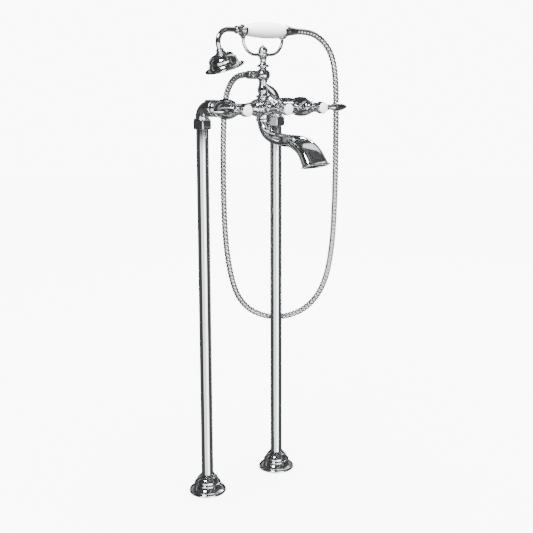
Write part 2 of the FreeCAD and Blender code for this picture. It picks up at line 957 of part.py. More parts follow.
def valve(name, x, seat, bonnet_length):
    """A valve's cartridge and bonnet, and the lever, screw and button that turn with its stem."""
    at_seat = {"x": x, "y": f"-{seat}", "z": "axis_height", "turn": FORWARD}
    stem_bore = "(stem_r + running_fit)"
    fit_r = "(nose_r + assembly_fit)"
    neck = "bonnet_neck_r"
    nose_base = "cartridge_length"
    finish(
        turned(
            f"{name} cartridge",
            [
                (stem_bore, "0"),
                ("cartridge_r", "0"),
                ("cartridge_r", nose_base),
                ("nose_r", nose_base),
                ("nose_r", f"{nose_base} + nose_length"),
                (stem_bore, f"{nose_base} + nose_length"),
            ],
            x=x,
            y=f"-({seat} - cartridge_length)",
            z="axis_height",
            turn=FORWARD,
        ),
        f"cartridge_{name}",
    )
    bead_low = f"({bonnet_length} - bonnet_bead * 2.2)"
    bead_high = f"({bead_low} + bonnet_bead)"
    front = f"({bonnet_length})"
    nose_top = "(nose_length + assembly_fit)"
    finish(
        turned(
            f"{name} bonnet",
            [
                (fit_r, "0"),
                ("seat_r", "0"),
                ("seat_r", "bonnet_rim"),
                (neck, "bonnet_cove", "bonnet_cove_r", HOLLOW),
                (neck, bead_low),
                (neck, bead_high, "bonnet_bead * bead_round", BULGE),
                (neck, f"{bead_high} + small_step"),
                ("bonnet_front_r", f"{front} - bonnet_front", "bonnet_front_cove_r", HOLLOW),
                ("bonnet_front_r", front),
                (f"{stem_bore} + turning_gap", front),
                (f"{stem_bore} + turning_gap", nose_top),
                (fit_r, nose_top),
            ],
            **at_seat,
        ),
        f"bonnet_{name}",
    )
    turn = FORWARD.multiply(Rotation(Vector(0, 0, 1), LEVER_TURN[name]))
    hub_y = f"({seat} + {bonnet_length} + turning_gap)"
    at_hub = {"x": x, "y": f"-{hub_y}", "z": "axis_height", "turn": turn}
    stem_length = f"(stem_reach + {bonnet_length} + turning_gap + hub_web)"
    tapped = "(screw_r + assembly_fit)"
    tapped_depth = "(screw_length + small_step)"
    finish(
        turned(
            f"{name} stem",
            [
                ("0", "0"),
                ("stem_r", "0"),
                ("stem_r", stem_length),
                (tapped, stem_length),
                (tapped, f"{stem_length} - {tapped_depth}"),
                ("0", f"{stem_length} - {tapped_depth}"),
            ],
            x=x,
            y=f"-({seat} - stem_reach)",
            z="axis_height",
            turn=FORWARD,
        ),
        f"stem_{name}",
    )
    lever = new_body(f"{name} lever")
    hub_bore = "(stem_r + assembly_fit)"
    revolve(
        lever,
        outline(
            lever,
            [
                (hub_bore, "0"),
                ("hub_back_r", "0"),
                ("hub_r", "hub_round", "hub_round * 1.4", BULGE),
                ("hub_r", "hub_length"),
                ("hub_recess_r", "hub_length"),
                ("hub_recess_r", "hub_web"),
                (hub_bore, "hub_web"),
            ],
        ),
    )
    collar_end = "(lever_collar + lever_collar_width)"
    arm = outline(
        lever,
        [
            ("lever_root", "0"),
            ("lever_reach", "0"),
            ("lever_reach", "lever_tip_r"),
            (
                "lever_belly",
                "lever_belly_r",
                belly("lever_belly_r - lever_tip_r", "lever_reach - lever_belly"),
                BULGE,
            ),
            (
                "lever_start",
                "lever_neck_r",
                belly("lever_belly_r - lever_neck_r", "lever_belly - lever_start"),
                BULGE,
            ),
            (collar_end, "lever_neck_r - lever_flare"),
            (collar_end, "lever_collar_r"),
            ("lever_collar", "lever_collar_r", "lever_collar_width * 0.6", BULGE),
            ("lever_collar", "lever_neck_r"),
            ("lever_root", "lever_neck_r + lever_flare"),
        ],
    )
    arm.AttachmentOffset = Placement(Vector(0, number("hub_length / 2"), 0), UPRIGHT)
    arm.setExpression("AttachmentOffset.Base.y", full("hub_length / 2"))
    revolve(lever, arm, "H_Axis")
    finish(place(lever, **at_hub), f"lever_{name}")
    finish(
        turned(
            f"{name} screw",
            [
                ("0", "0"),
                ("screw_r", "0"),
                ("screw_r", "screw_length"),
                ("screw_head_r", "screw_length"),
                (
                    "screw_head_r * 0.6",
                    "screw_length + screw_head",
                    "screw_head_r",
                    BULGE,
                ),
                ("0", "screw_length + screw_head"),
            ],
            x=x,
            y=f"-({hub_y} + hub_web - screw_length)",
            z="axis_height",
            turn=FORWARD,
        ),
        f"handle_screw_{name}",
    )
    seat_r = "(button_r + assembly_fit)"
    at_front = {**at_hub, "y": f"-({hub_y} + hub_length)"}
    finish(
        turned(
            f"{name} button rim",
            [
                ("button_r - rim_lip", "0"),
                (f"{seat_r} + rim_wall", "0"),
                (f"{seat_r} + rim_wall", "rim_height - small_step"),
                (seat_r, "rim_height", "rim_wall * 1.2", BULGE),
                (seat_r, "rim_height - button_thick"),
                ("button_r - rim_lip", "rim_height - button_thick"),
            ],
            **at_front,
        ),
        f"button_rim_{name}",
    )
    finish(
        turned(
            f"{name} button",
            [
                ("0", "0"),
                ("button_r", "0"),
                ("button_r", "button_thick"),
                (
                    "0",
                    "button_thick + button_crown",
                    "button_r^2 / (2 * button_crown) + button_crown / 2",
                    BULGE,
                ),
            ],
            **{**at_hub, "y": f"-({hub_y} + hub_length + rim_height - button_thick)"},
        ),
        f"button_{name}",
    )


def column():
    """The nut, ball and cradle post that stand on the mixer body, up to the finial."""
    on_axis = {"y": "-body_forward"}
    end_r = "column_nut_end_r"
    finish(
        turned(
            "column nut",
            [
                ("column_thread_r + assembly_fit", "0"),
                (end_r, "0"),
                (
                    "column_nut_r",
                    "column_nut_height / 2",
                    belly(f"column_nut_r - {end_r}", "column_nut_height / 2"),
                    BULGE,
                ),
                (
                    end_r,
                    "column_nut_height",
                    belly(f"column_nut_r - {end_r}", "column_nut_height / 2"),
                    BULGE,
                ),
                ("column_thread_r + assembly_fit", "column_nut_height"),
            ],
            z=COLUMN_TOP,
            **on_axis,
        ),
        "column_nut",
    )
    foot = "(column_nut_height + column_stub)"
    middle = f"({foot} + column_neck + ball_r)"
    low_rise = "(sqrt(ball_r^2 - column_neck_r^2))"
    high_rise = "(sqrt(ball_r^2 - ball_neck_r^2))"
    ball = turned(
        "ball blank",
        [
            ("0", "0"),
            ("column_thread_r", "0"),
            ("column_thread_r", foot),
            ("column_neck_r", foot),
            ("column_neck_r", f"{middle} - {low_rise}"),
            ("ball_r", middle, "ball_r", BULGE),
            ("ball_neck_r", f"{middle} + {high_rise}", "ball_r", BULGE),
            ("ball_neck_r", f"{middle} + ball_top"),
            ("0", f"{middle} + ball_top"),
        ],
        z=f"{COLUMN_TOP} - column_stub",
        **on_axis,
    )
    outlet = rod(
        "outlet nipple",
        "outlet_r",
        "outlet_reach",
        z=BALL_CENTRE,
        turn=BACKWARD,
        **on_axis,
    )
    bores = [
        rod(
            "rising way",
            "hose_way_r",
            middle,
            z=f"{COLUMN_TOP} - column_stub",
            **on_axis,
        ),
        rod(
            "outlet way",
            "hose_way_r",
            "outlet_reach + small_step",
            z=BALL_CENTRE,
            turn=BACKWARD,
            **on_axis,
        ),
        rod(
            "post socket",
            "post_stub_r + assembly_fit",
            "post_stub + small_step",
            z=f"{POST_FOOT} - post_stub",
            **on_axis,
        ),
    ]
    finish(
        cut("ball", joined("ball casting", [ball, outlet]), bores),
        "swivel_ball",
    )
    nut_bore = "(outlet_r + assembly_fit)"
    finish(
        turned(
            "rear nut",
            [
                (nut_bore, "0"),
                ("rear_nut_r", "0"),
                ("rear_nut_r", "rear_thread"),
                ("rear_nut_r - nut_groove", "rear_thread + nut_groove"),
                ("rear_nut_r - nut_groove", "rear_thread + nut_groove + groove_width"),
                ("rear_nut_r", "rear_thread + 2 * nut_groove + groove_width"),
                ("rear_nut_r", "rear_nut_length - rear_nut_round"),
                ("hose_d / 2 + hose_seat", "rear_nut_length", "rear_nut_round_r", BULGE),
                ("hose_way_r", "rear_nut_length"),
                ("hose_way_r", "rear_thread + washer_thick"),
                (nut_bore, "rear_thread + washer_thick"),
            ],
            y="-(body_forward - outlet_reach + rear_thread)",
            z=BALL_CENTRE,
            turn=BACKWARD,
        ),
        "hose_nut_rear",
    )
    collar_top = "(post_stub + post_collar)"
    cup_low = "(cup_height - cup_rim)"
    post = turned(
        "post blank",
        [
            ("0", "0"),
            ("post_stub_r", "0"),
            ("post_stub_r", "post_stub"),
            ("post_collar_r", "post_stub"),
            ("post_collar_r", collar_top, "post_collar * 0.6", BULGE),
            ("post_foot_r", collar_top),
            ("post_waist_r", "post_stub + post_waist", "post_cove_r", HOLLOW),
            (
                "cup_r",
                f"post_stub + {cup_low}",
                "cup_cove_r",
                HOLLOW,
            ),
            ("cup_r", "post_stub + cup_height - cup_round", "2 * cup_round", BULGE),
            ("cup_r - cup_round", "post_stub + cup_height"),
            ("finial_spigot_r + assembly_fit", "post_stub + cup_height"),
            (
                "finial_spigot_r + assembly_fit",
                "post_stub + cup_height - finial_spigot",
            ),
            ("0", "post_stub + cup_height - finial_spigot"),
        ],
        z=f"{POST_FOOT} - post_stub",
        **on_axis,
    )
    fork_hole = rod(
        "fork hole",
        "fork_rod_r + assembly_fit",
        "cup_r * 4",
        x="-cup_r * 2",
        z=FORK_Z,
        turn=TO_RIGHT,
        **on_axis,
    )
    finish(cut("post", post, [fork_hole]), "cradle_post")
    finish(
        turned(
            "finial",
            [
                ("0", "0"),
                ("finial_spigot_r", "0"),
                ("finial_spigot_r", "finial_spigot"),
                ("finial_foot_r", "finial_spigot"),
                (
                    "finial_r",
                    "finial_spigot + finial_belly",
                    belly("finial_r - finial_foot_r", "finial_belly"),
                    BULGE,
                ),
                (
                    "finial_tip_r",
                    "finial_height - finial_tip_r",
                    "finial_height * 0.9",
                    BULGE,
                ),
                ("0", "finial_height"),
            ],
            z=f"{POST_FOOT} + cup_height - finial_spigot",
            **on_axis,
        ),
        "finial",
    )


def grip_curve(end):
    """Radius of the long arc that the grip's outline makes from its crown to one end."""
    sign = "+" if end == "left" else "-"
    length = f"(grip_{end} {sign} grip_crown - small_step)"
    return belly(f"grip_r - grip_{end}_r", length)


def grip_radius(end, distance):
    """The grip's radius at a distance from its crown, towards one end."""
    curve = grip_curve(end)
    return f"(grip_r - ({curve} - sqrt({curve}^2 - {distance}^2)))"


# The grip lies in its two saddles, which stand on the ends of the fork.
SADDLE_EDGE = "(saddle_reach - saddle_width / 2)"
SADDLE_INNER_R = {
    "left": f"({grip_radius('left', f'({SADDLE_EDGE} + grip_crown)')} + loose_fit)",
    "right": f"({grip_radius('right', f'({SADDLE_EDGE} - grip_crown)')} + loose_fit)",
}
FORK_TOP = f"({FORK_Z} + fork_bend_r)"
GRIP_Z = f"({FORK_TOP} + saddle_boss + saddle_thick / 2 + {SADDLE_INNER_R['right']})"


def cradle():
    """The bent fork through the post's cup, and a crescent saddle on each of its ends."""
    straight = "(saddle_reach - fork_bend_r)"
    fork = pipe(
        "fork",
        [
            ("0", "0"),
            (straight, "0"),
            ("saddle_reach", "fork_bend_r", "fork_bend_r", BULGE),
        ],
        "fork_rod_r",
        "XZ_Plane",
        "YZ_Plane",
        y="-body_forward",
        z=FORK_Z,
    )
    mirrored = fork.newObject("PartDesign::Mirrored", "OtherArm")
    mirrored.Originals = [fork.Tip]
    mirrored.MirrorPlane = (own_plane(fork, "YZ_Plane"), [""])
    fork.Tip = mirrored
    finish(fork, "cradle_fork")

    saddles = []
    for side, sign in (("left", "-1"), ("right", "1")):
        inner = SADDLE_INNER_R[side]
        outer = f"({inner} + saddle_thick)"
        body = new_body(f"{side} saddle")
        profile = outline(
            body,
            [
                (f"-{outer}", "0"),
                ("0", f"-{outer}", outer, BULGE),
                (outer, "0", outer, BULGE),
                (f"{outer} + small_step", "saddle_horn", "saddle_horn_r", HOLLOW),
                (f"{inner} + saddle_open", "saddle_horn"),
                (inner, "0"),
                ("0", f"-{inner}", inner, HOLLOW),
                (f"-{inner}", "0", inner, HOLLOW),
                (f"-({inner} + saddle_open)", "saddle_horn"),
                (f"-({outer} + small_step)", "saddle_horn"),
            ],
            "YZ_Plane",
        )
        pad = body.newObject("PartDesign::Pad", "Crescent")
        pad.Profile = profile
        pad.setExpression("Length", full("saddle_width"))
        pad.Midplane = True
        place(
            body,
            x=f"{sign} * saddle_reach",
            y="-body_forward",
            z=GRIP_Z,
        )
        boss = rod(
            f"{side} saddle boss",
            "saddle_boss_r",
            f"({GRIP_Z} - {inner} - saddle_thick / 2 - {FORK_TOP})",
            x=f"{sign} * saddle_reach",
            y="-body_forward",
            z=FORK_TOP,
        )
        saddles.append(joined(f"{side} saddle casting", [body, boss]))
    pair = doc.addObject("Part::Compound", "Saddles")
    pair.Links = saddles
    finish(pair, "cradle_saddles")


def group(label, pieces):
    """Like pieces that share a node."""
    item = doc.addObject("Part::Compound", "Group")
    item.Links = pieces
    finish(item, label)


def small_pieces():
    """Grub screws, rubber rings and washers, each kind in one group."""
    seal_r = "(spigot_r - assembly_fit)"
    bore = f"({RISER_R} + assembly_fit)"
    grubs, rings, seals, washers = [], [], [], []
    for side, x in SIDES.items():
        grubs.append(
            rod(
                f"{side} grub",
                "grub_r",
                "riser_wall + grub_depth - loose_fit",
                x=x,
                y=f"({RISER_R} - riser_wall - grub_depth)",
                z="grub_height",
                turn=BACKWARD,
            )
        )
        rings.append(
            tube(
                f"{side} ring",
                bore,
                f"({bore} + ring_section - assembly_fit)",
                "ring_thick - 2 * assembly_fit",
                x=x,
                z="dome_high - ring_thick + assembly_fit",
            )
        )
        seals.append(
            tube(
                f"{side} seal",
                bore,
                seal_r,
                "seal_thick",
                x=x,
                z=f"{NUT_BASE} + nut_floor",
            )
        )
        washers.append(
            tube(
                f"{side} washer",
                "elbow_way_r",
                "union_thread_r - assembly_fit",
                "washer_thick",
                x=x,
                y=f"-({TAIL} - washer_thick)",
                z="axis_height",
                turn=FORWARD,
            )
        )
    washers.append(
        tube(
            "hose washer",
            "hose_way_r",
            "outlet_r",
            "washer_thick",
            y="-(body_forward - outlet_reach)",
            z=BALL_CENTRE,
            turn=BACKWARD,
        )
    )
    group("grub_screws", grubs)
    group("escutcheon_rings", rings)
    group("riser_seals", seals)
    group("sealing_washers", washers)


def handset():
    """The porcelain grip on its tube, the gooseneck and the bell-shaped shower head."""
    at_axis = {"y": "-body_forward", "z": GRIP_Z}
    bore = "(tube_r + assembly_fit)"
    left_length = "(grip_left + grip_crown)"
    finish(
        turned(
            "grip",
            [
                (bore, "0"),
                ("grip_left_r - small_step", "0"),
                ("grip_left_r", "small_step", "edge_round_r", BULGE),
                (
                    "grip_r",
                    left_length,
                    grip_curve("left"),
                    BULGE,
                ),
                (
                    "grip_right_r",
                    "grip_left + grip_right - small_step",
                    grip_curve("right"),
                    BULGE,
                ),
                ("grip_right_r - small_step", "grip_left + grip_right", "edge_round_r", BULGE),
                (bore, "grip_left + grip_right"),
            ],
            x="-grip_left",
            turn=TO_RIGHT,
            **at_axis,
        ),
        "grip",
    )
    tube_start = "(grip_left + ferrule_flange)"
    tube_end = "(grip_right + grip_ring + tube_thread)"
    finish(
        tube(
            "grip tube",
            "tube_bore_r",
            "tube_r",
            f"({tube_start} + {tube_end})",
            x=f"-{tube_start}",
            turn=TO_RIGHT,
            **at_axis,
        ),
        "grip_tube",
    )
    finish(
        turned(
            "grip ring",
            [
                (bore, "0"),
                ("grip_ring_r", "0"),
                ("grip_ring_r", "grip_ring / 3"),
                ("hose_nut_r", "grip_ring - nut_groove", "grip_ring * 1.2", BULGE),
                ("hose_nut_r", "grip_ring"),
                (bore, "grip_ring"),
            ],
            x="grip_right",
            turn=TO_RIGHT,
            **at_axis,
        ),
        "grip_ring",
    )
    finish(
        turned(
            "handset hose nut",
            [
                (bore, "0"),
                ("hose_nut_r", "0"),
                ("hose_nut_r", "hose_nut_band"),
                ("hose_nut_r - small_step", "hose_nut_band + nut_groove"),
                ("hose_nut_r - small_step", "hose_nut_band + nut_groove + small_step"),
                ("hose_nut_end_r", "hose_nut_length"),
                ("hose_bore_r", "hose_nut_length"),
                ("hose_bore_r", "tube_thread"),
                (bore, "tube_thread"),
            ],
            x="grip_right + grip_ring",
            turn=TO_RIGHT,
            **at_axis,
        ),
        "hose_nut_handset",
    )
    neck_bore = "(gooseneck_r + assembly_fit)"
    finish(
        turned(
            "ferrule",
            [
                (bore, "0"),
                ("ferrule_flange_r", "0"),
                (
                    "ferrule_flange_r",
                    "ferrule_flange",
                    "ferrule_flange * 0.6",
                    BULGE,
                ),
                ("ferrule_r", "ferrule_flange"),
                ("ferrule_r", "ferrule_length - ferrule_round"),
                ("gooseneck_r + small_step", "ferrule_length", "ferrule_round * 1.5", BULGE),
                (neck_bore, "ferrule_length"),
                (neck_bore, "ferrule_flange"),
                (bore, "ferrule_flange"),
            ],
            x="-grip_left",
            turn=TO_LEFT,
            **at_axis,
        ),
        "grip_ferrule",
    )
    run = "(ferrule_length - ferrule_flange - assembly_fit + gooseneck_run)"
    bend_x = f"({run} + gooseneck_bend_r * sin(gooseneck_turn * 1deg))"
    bend_z = "(gooseneck_bend_r * (1 - cos(gooseneck_turn * 1deg)))"
    end_x = f"({bend_x} + gooseneck_drop * cos(gooseneck_turn * 1deg))"
    end_z = f"({bend_z} + gooseneck_drop * sin(gooseneck_turn * 1deg))"
    neck_start = "(grip_left + ferrule_flange + assembly_fit)"
    spine = [
        ("0", "0"),
        (run, "0"),
        (
            f"{run} + gooseneck_bend_r * sin(gooseneck_turn * 0.5deg)",
            "gooseneck_bend_r * (1 - cos(gooseneck_turn * 0.5deg))",
            "gooseneck_bend_r",
            BULGE,
        ),
        (bend_x, bend_z, "gooseneck_bend_r", BULGE),
        (end_x, end_z),
    ]
    over = Rotation(Vector(0, 1, 0), 180)
    ways = {"x": f"-{neck_start}", "turn": over, **at_axis}
    outer = pipe(
        "gooseneck bar", spine, "gooseneck_r", "XZ_Plane", "YZ_Plane", **ways
    )
    inner = pipe(
        "gooseneck way", spine, "gooseneck_way_r", "XZ_Plane", "YZ_Plane", **ways
    )
    finish(cut("gooseneck tube", outer, [inner]), "gooseneck")

    tilt = Rotation(Vector(0, 1, 0), 180 - (number("gooseneck_turn") - 90))
    head = {
        "x": f"-({neck_start} + {end_x})",
        "y": "-body_forward",
        "z": f"({GRIP_Z} - {end_z})",
        "turn": tilt,
    }
    finish(
        turned(
            "rose collar",
            [
                ("gooseneck_way_r", "0"),
                ("rose_collar_r", "0"),
                ("rose_collar_r", "rose_collar * 0.3", "rose_collar * 0.2", BULGE),
                ("rose_collar_r - rose_step", "rose_collar * 0.4"),
                ("rose_collar_r + rose_step", "rose_collar * 0.5"),
                (
                    "rose_collar_r + rose_step",
                    "rose_collar * 0.75",
                    "rose_collar * 0.2",
                    BULGE,
                ),
                ("rose_shoulder_r", "rose_collar * 0.85"),
                ("rose_shoulder_r", "rose_collar"),
                ("gooseneck_way_r", "rose_collar"),
            ],
            **head,
        ),
        "rose_collar",
    )
    dome_low = "(rose_collar + rose_dome)"
    wall = "rose_wall"
    face_top = "(rose_depth - face_recess - face_thick)"
    flare_drop = "(rose_rim_r - rose_dome_r)"
    flare_length = "(rose_depth - rose_lip - rose_waist)"
    flare = belly(flare_drop, flare_length)
    rise = f"({face_top} - rose_waist)"
    ledge_r = f"(rose_dome_r + {flare} - sqrt(({flare} + {wall})^2 - {rise}^2))"
    face_r = f"({ledge_r} + face_ledge)"
    finish(
        turned(
            "rose bell",
            [
                ("gooseneck_way_r", "rose_collar"),
                ("rose_shoulder_r + rose_shoulder", "rose_collar"),
                ("rose_dome_r", dome_low, "rose_dome_r * 0.55", BULGE),
                ("rose_dome_r", "rose_waist"),
                (
                    "rose_rim_r",
                    "rose_depth - rose_lip",
                    flare,
                    HOLLOW,
                ),
                ("rose_rim_r", "rose_depth", "rose_lip * 0.6", BULGE),
                (face_r, "rose_depth"),
                (face_r, face_top),
                (ledge_r, face_top),
                (
                    f"rose_dome_r - {wall}",
                    "rose_waist",
                    f"({flare} + {wall})",
                    BULGE,
                ),
                (f"rose_dome_r - {wall}", dome_low),
                ("rose_shoulder_r + small_step", f"rose_collar + {wall}"),
                ("gooseneck_way_r", f"rose_collar + {wall}"),
            ],
            **head,
        ),
        "rose_bell",
    )
    face = new_body("spray plate")
    disc = outline(
        face,
        [
            ("0", face_top),
            (f"{face_r} - assembly_fit", face_top),
            (f"{face_r} - assembly_fit", f"{face_top} + face_thick"),
            ("0", f"{face_top} + face_thick"),
        ],
    )
    revolve(face, disc)
    doc.recompute()
    for ring in range(1, JET_RINGS + 1):
        jet = face.newObject("Sketcher::SketchObject", "Jet")
        jet.AttachmentSupport = (own_plane(face, "XY_Plane"), [""])
        jet.MapMode = "FlatFace"
        centre = Vector(number(f"jet_pitch * {ring}"), 0, 0)
        jet.addGeometry([Part.Circle(centre, Vector(0, 0, 1), number("jet_r"))], False)
        jet.addConstraint(Sketcher.Constraint("PointOnObject", 0, 3, -1))
        across = jet.addConstraint(
            Sketcher.Constraint("DistanceX", -1, 1, 0, 3, centre.x)
        )
        jet.setExpression(f"Constraints[{across}]", full(f"jet_pitch * {ring}"))
        radius = jet.addConstraint(Sketcher.Constraint("Radius", 0, number("jet_r")))
        jet.setExpression(f"Constraints[{radius}]", full("jet_r"))
        hole = face.newObject("PartDesign::Pocket", "JetHole")
        hole.Profile = jet
        hole.Type = 1
        hole.Midplane = True
        doc.recompute()
        jets = face.newObject("PartDesign::PolarPattern", "JetRing")
        jets.Originals = [hole]
        jets.Axis = (own_plane(face, "Z_Axis"), [""])
        jets.Angle = 360
        jets.Occurrences = int(number(f"jets_in_ring * {ring}"))
        face.Tip = jets
        doc.recompute()
    finish(place(face, **head), "rose_face")


def rounded_ring(width, depth, squareness, origin, down):
    """A closed smooth curve between an ellipse and a rounded rectangle."""
    points = []
    for step in range(SPOUT_RING_POINTS):
        angle = 2 * math.pi * step / SPOUT_RING_POINTS
        cosine, sine = math.cos(angle), math.sin(angle)
        wide = math.copysign(abs(cosine) ** (2 / squareness), cosine) * width / 2
        deep = math.copysign(abs(sine) ** (2 / squareness), sine) * depth / 2
        points.append(origin + Vector(wide, 0, 0) + down * deep)
    curve = Part.BSplineCurve()
    curve.interpolate(Points=points, PeriodicFlag=True)
    return Part.Wire([curve.toShape()])


def spout_stations():
    """The spout's stations from its root to its mouth: forward, down, slope, width, depth, squareness.
    The root is the neck's radius and the mouth its own width and depth; the rest swell between."""
    root = 2 * number("spout_r")
    reach, drop = number("mouth_reach"), number("mouth_drop")
    width, depth = number("mouth_width"), number("mouth_depth")
    tilt = number("mouth_tilt")
    return [
        (0.0, 0.0, 90, root, root, 2.0),
        (0.0, 0.065 * drop, 90, root, root, 2.0),
        (0.007 * reach, 0.13 * drop, 78, root, root, 2.0),
        (0.067 * reach, 0.31 * drop, 52, root * 1.04, root * 0.98, 2.0),
        (0.155 * reach, 0.415 * drop, 24, root * 1.06, root * 0.98, 2.05),
        (0.30 * reach, 0.455 * drop, 3, root * 1.1, root, 2.15),
        (0.47 * reach, 0.485 * drop, 8, root * 0.5 + width * 0.32, root * 1.08, 2.4),
        (0.66 * reach, 0.49 * drop, 29, width * 0.86, depth * 0.79, 2.7),
        (0.877 * reach, 0.69 * drop, 51, width * 0.915, depth * 0.86, 2.8),
        (reach, drop, tilt, width, depth, MOUTH_SQUARENESS),
    ]


def slopes_through(spots, values):
    """The slope of a smooth curve at each spot: the rises beside it, the nearer one counting more."""
    spans = [after - before for before, after in zip(spots, spots[1:])]
    rises = [(after - before) / span for before, after, span in zip(values, values[1:], spans)]
    inner = []
    for before, after, span_before, span_after in zip(rises, rises[1:], spans, spans[1:]):
        inner.append((before * span_after + after * span_before) / (span_before + span_after))
    return [rises[0], *inner, rises[-1]]


def smooth_value(spots, values, place):
    """The value at a place along a smooth curve through the values that stand at the spots."""
    slopes = slopes_through(spots, values)
    index = max(i for i in range(len(spots) - 1) if spots[i] <= place)
    span = spots[index + 1] - spots[index]
    share = (place - spots[index]) / span
    rest = 1 - share
    level = values[index] * rest**2 * (1 + 2 * share) + values[index + 1] * share**2 * (3 - 2 * share)
    return level + span * share * rest * (slopes[index] * rest - slopes[index + 1] * share)


def spout_rows():
    """The spout's stations with more set between them, so that its walls follow one smooth curve."""
    stations = spout_stations()
    spots = [0.0]
    for before, after in zip(stations, stations[1:]):
        spots.append(spots[-1] + math.hypot(after[0] - before[0], after[1] - before[1]))
    places = [spots[-1] * row / (SPOUT_ROWS - 1) for row in range(SPOUT_ROWS)]
    return [
        tuple(smooth_value(spots, values, place) for values in zip(*stations))
        for place in places
    ]


def spout_loft(shrink, stretch_out):
    """The spout's body drawn in by a wall, and drawn out past its mouth."""
    rings = []
    base = Vector(0, -number("body_forward"), number(f"{SPOUT_FACE} - turning_gap - spout_flange"))
    rows = spout_rows()
    for index, (forward, down, slope, width, depth, square) in enumerate(rows):
        lean = math.radians(slope)
        along = Vector(0, -math.cos(lean), -math.sin(lean))
        up = Vector(0, -math.sin(lean), math.cos(lean))
        origin = base + Vector(0, -forward, -down)
        size = (width - 2 * shrink, depth - 2 * shrink, square)
        rings.append(rounded_ring(*size, origin, up))
        if index == len(rows) - 1 and stretch_out:
            rings.append(rounded_ring(*size, origin + along * stretch_out, up))
    return Part.makeLoft(rings, True, False)


def spout():
    """The spout, with its spigot, its retaining flange and its lip, and the collar that carries it."""
    base_z = number(f"{SPOUT_FACE} - turning_gap")
    forward = number("body_forward")
    flange, flange_r = number("spout_flange"), number("spout_flange_r")
    spigot_r, spigot = number("spout_spigot_r"), number("spout_spigot")
    way_r, wall = number("spout_way_r"), number("spout_wall")
    lip, proud = number("lip_thick"), number("lip_proud")
    lean = math.radians(number("mouth_tilt"))
    along = Vector(0, -math.cos(lean), -math.sin(lean))
    up = Vector(0, -math.sin(lean), math.cos(lean))
    root = Vector(0, -forward, base_z - flange)
    mouth = root + Vector(0, -number("mouth_reach"), -number("mouth_drop"))
    axis = Vector(0, 0, 1)
    solid = spout_loft(0, 0)
    solid = solid.fuse(Part.makeCylinder(flange_r, flange, root, axis))
    stub = Part.makeCylinder(spigot_r, spigot + number("turning_gap"), root, axis)
    solid = solid.fuse(stub.translated(Vector(0, 0, flange)))
    width, depth = number("mouth_width"), number("mouth_depth")
    lip_rings = [
        rounded_ring(width + 2 * proud, depth + 2 * proud, MOUTH_SQUARENESS, mouth + along * shift, up)
        for shift in (0, lip)
    ]
    solid = solid.fuse(Part.makeLoft(lip_rings, True, True))
    hollow = spout_loft(wall, 2 * lip)
    solid = solid.cut(hollow)
    way = Part.makeCylinder(way_r, flange + spigot + number("bore_past"), root, axis)
    solid = solid.cut(way)
    ring_z = base_z + spigot * number("seal_place")
    ring_depth, ring_high = number("ring_section * seal_share"), number("ring_thick")
    outside = spigot_r + number("small_step")
    groove = Part.makeCylinder(outside, ring_high, Vector(0, -forward, ring_z))
    core = Part.makeCylinder(
        spigot_r - ring_depth, ring_high, Vector(0, -forward, ring_z)
    )
    solid = solid.cut(groove.cut(core))
    item = doc.addObject("Part::Feature", "Spout")
    item.Shape = solid
    finish(item, "spout")
    fit = "assembly_fit"
    finish(
        tube(
            "spout seal",
            f"(spout_spigot_r - ring_section * seal_share + {fit})",
            f"(spout_spigot_r - {fit})",
            f"(ring_thick - 2 * {fit})",
            y="-body_forward",
            z=f"({SPOUT_FACE} - turning_gap + spout_spigot * seal_place + {fit})",
        ),
        "spout_seal",
    )
    flange_low = "(collar_height - turning_gap - spout_flange - turning_gap)"
    finish(
        turned(
            "spout collar",
            [
                ("spout_r + 2 * loose_fit", "0"),
                ("collar_r - collar_round", "0"),
                ("collar_r", "collar_round", "collar_round * 1.5", BULGE),
                ("collar_r", "collar_height - collar_round"),
                ("collar_r - collar_round", "collar_height", "collar_round * 1.5", BULGE),
                ("spout_flange_r + loose_fit", "collar_height"),
                ("spout_flange_r + loose_fit", flange_low),
                ("spout_r + 2 * loose_fit", flange_low),
            ],
            y="-body_forward",
            z=f"({SPOUT_FACE} - collar_height)",
        ),
        "spout_collar",
    )


def hose_route():
    """The hose's route, chosen point by point: from the rear nut down behind the risers, round the
    low loop behind the cold riser, and up outside the cold valve to the handset's nut."""
    middle, height = -number("body_forward"), number(GRIP_Z)
    start = Vector(0, -number(HOSE_EXIT), number(BALL_CENTRE))
    end_x = number("grip_right + grip_ring + hose_nut_length")
    return [
        start,
        Vector(0, 2, start.z),
        Vector(0, 33, 923),
        Vector(0, 53, 893),
        Vector(0, 62, 850),
        Vector(0, 66.5, 770),
        Vector(0, 67, 650),
        Vector(3, 64, 545),
        Vector(16, 60, 463),
        Vector(38, 59, 412),
        Vector(77, 53, 376),
        Vector(122, 27, 362),
        Vector(161, -10, 376),
        Vector(183, -42, 410),
        Vector(196, -67, 462),
        Vector(204, -80, 545),
        Vector(208, -83.2, 670),
        Vector(208.5, -83.4, 800),
        Vector(208, -83.6, 905),
        Vector(200, middle, 968),
        Vector(178, middle, 1004),
        Vector(145, middle, 1025),
        Vector(114, middle, height),
        Vector(end_x, middle, height),
    ]


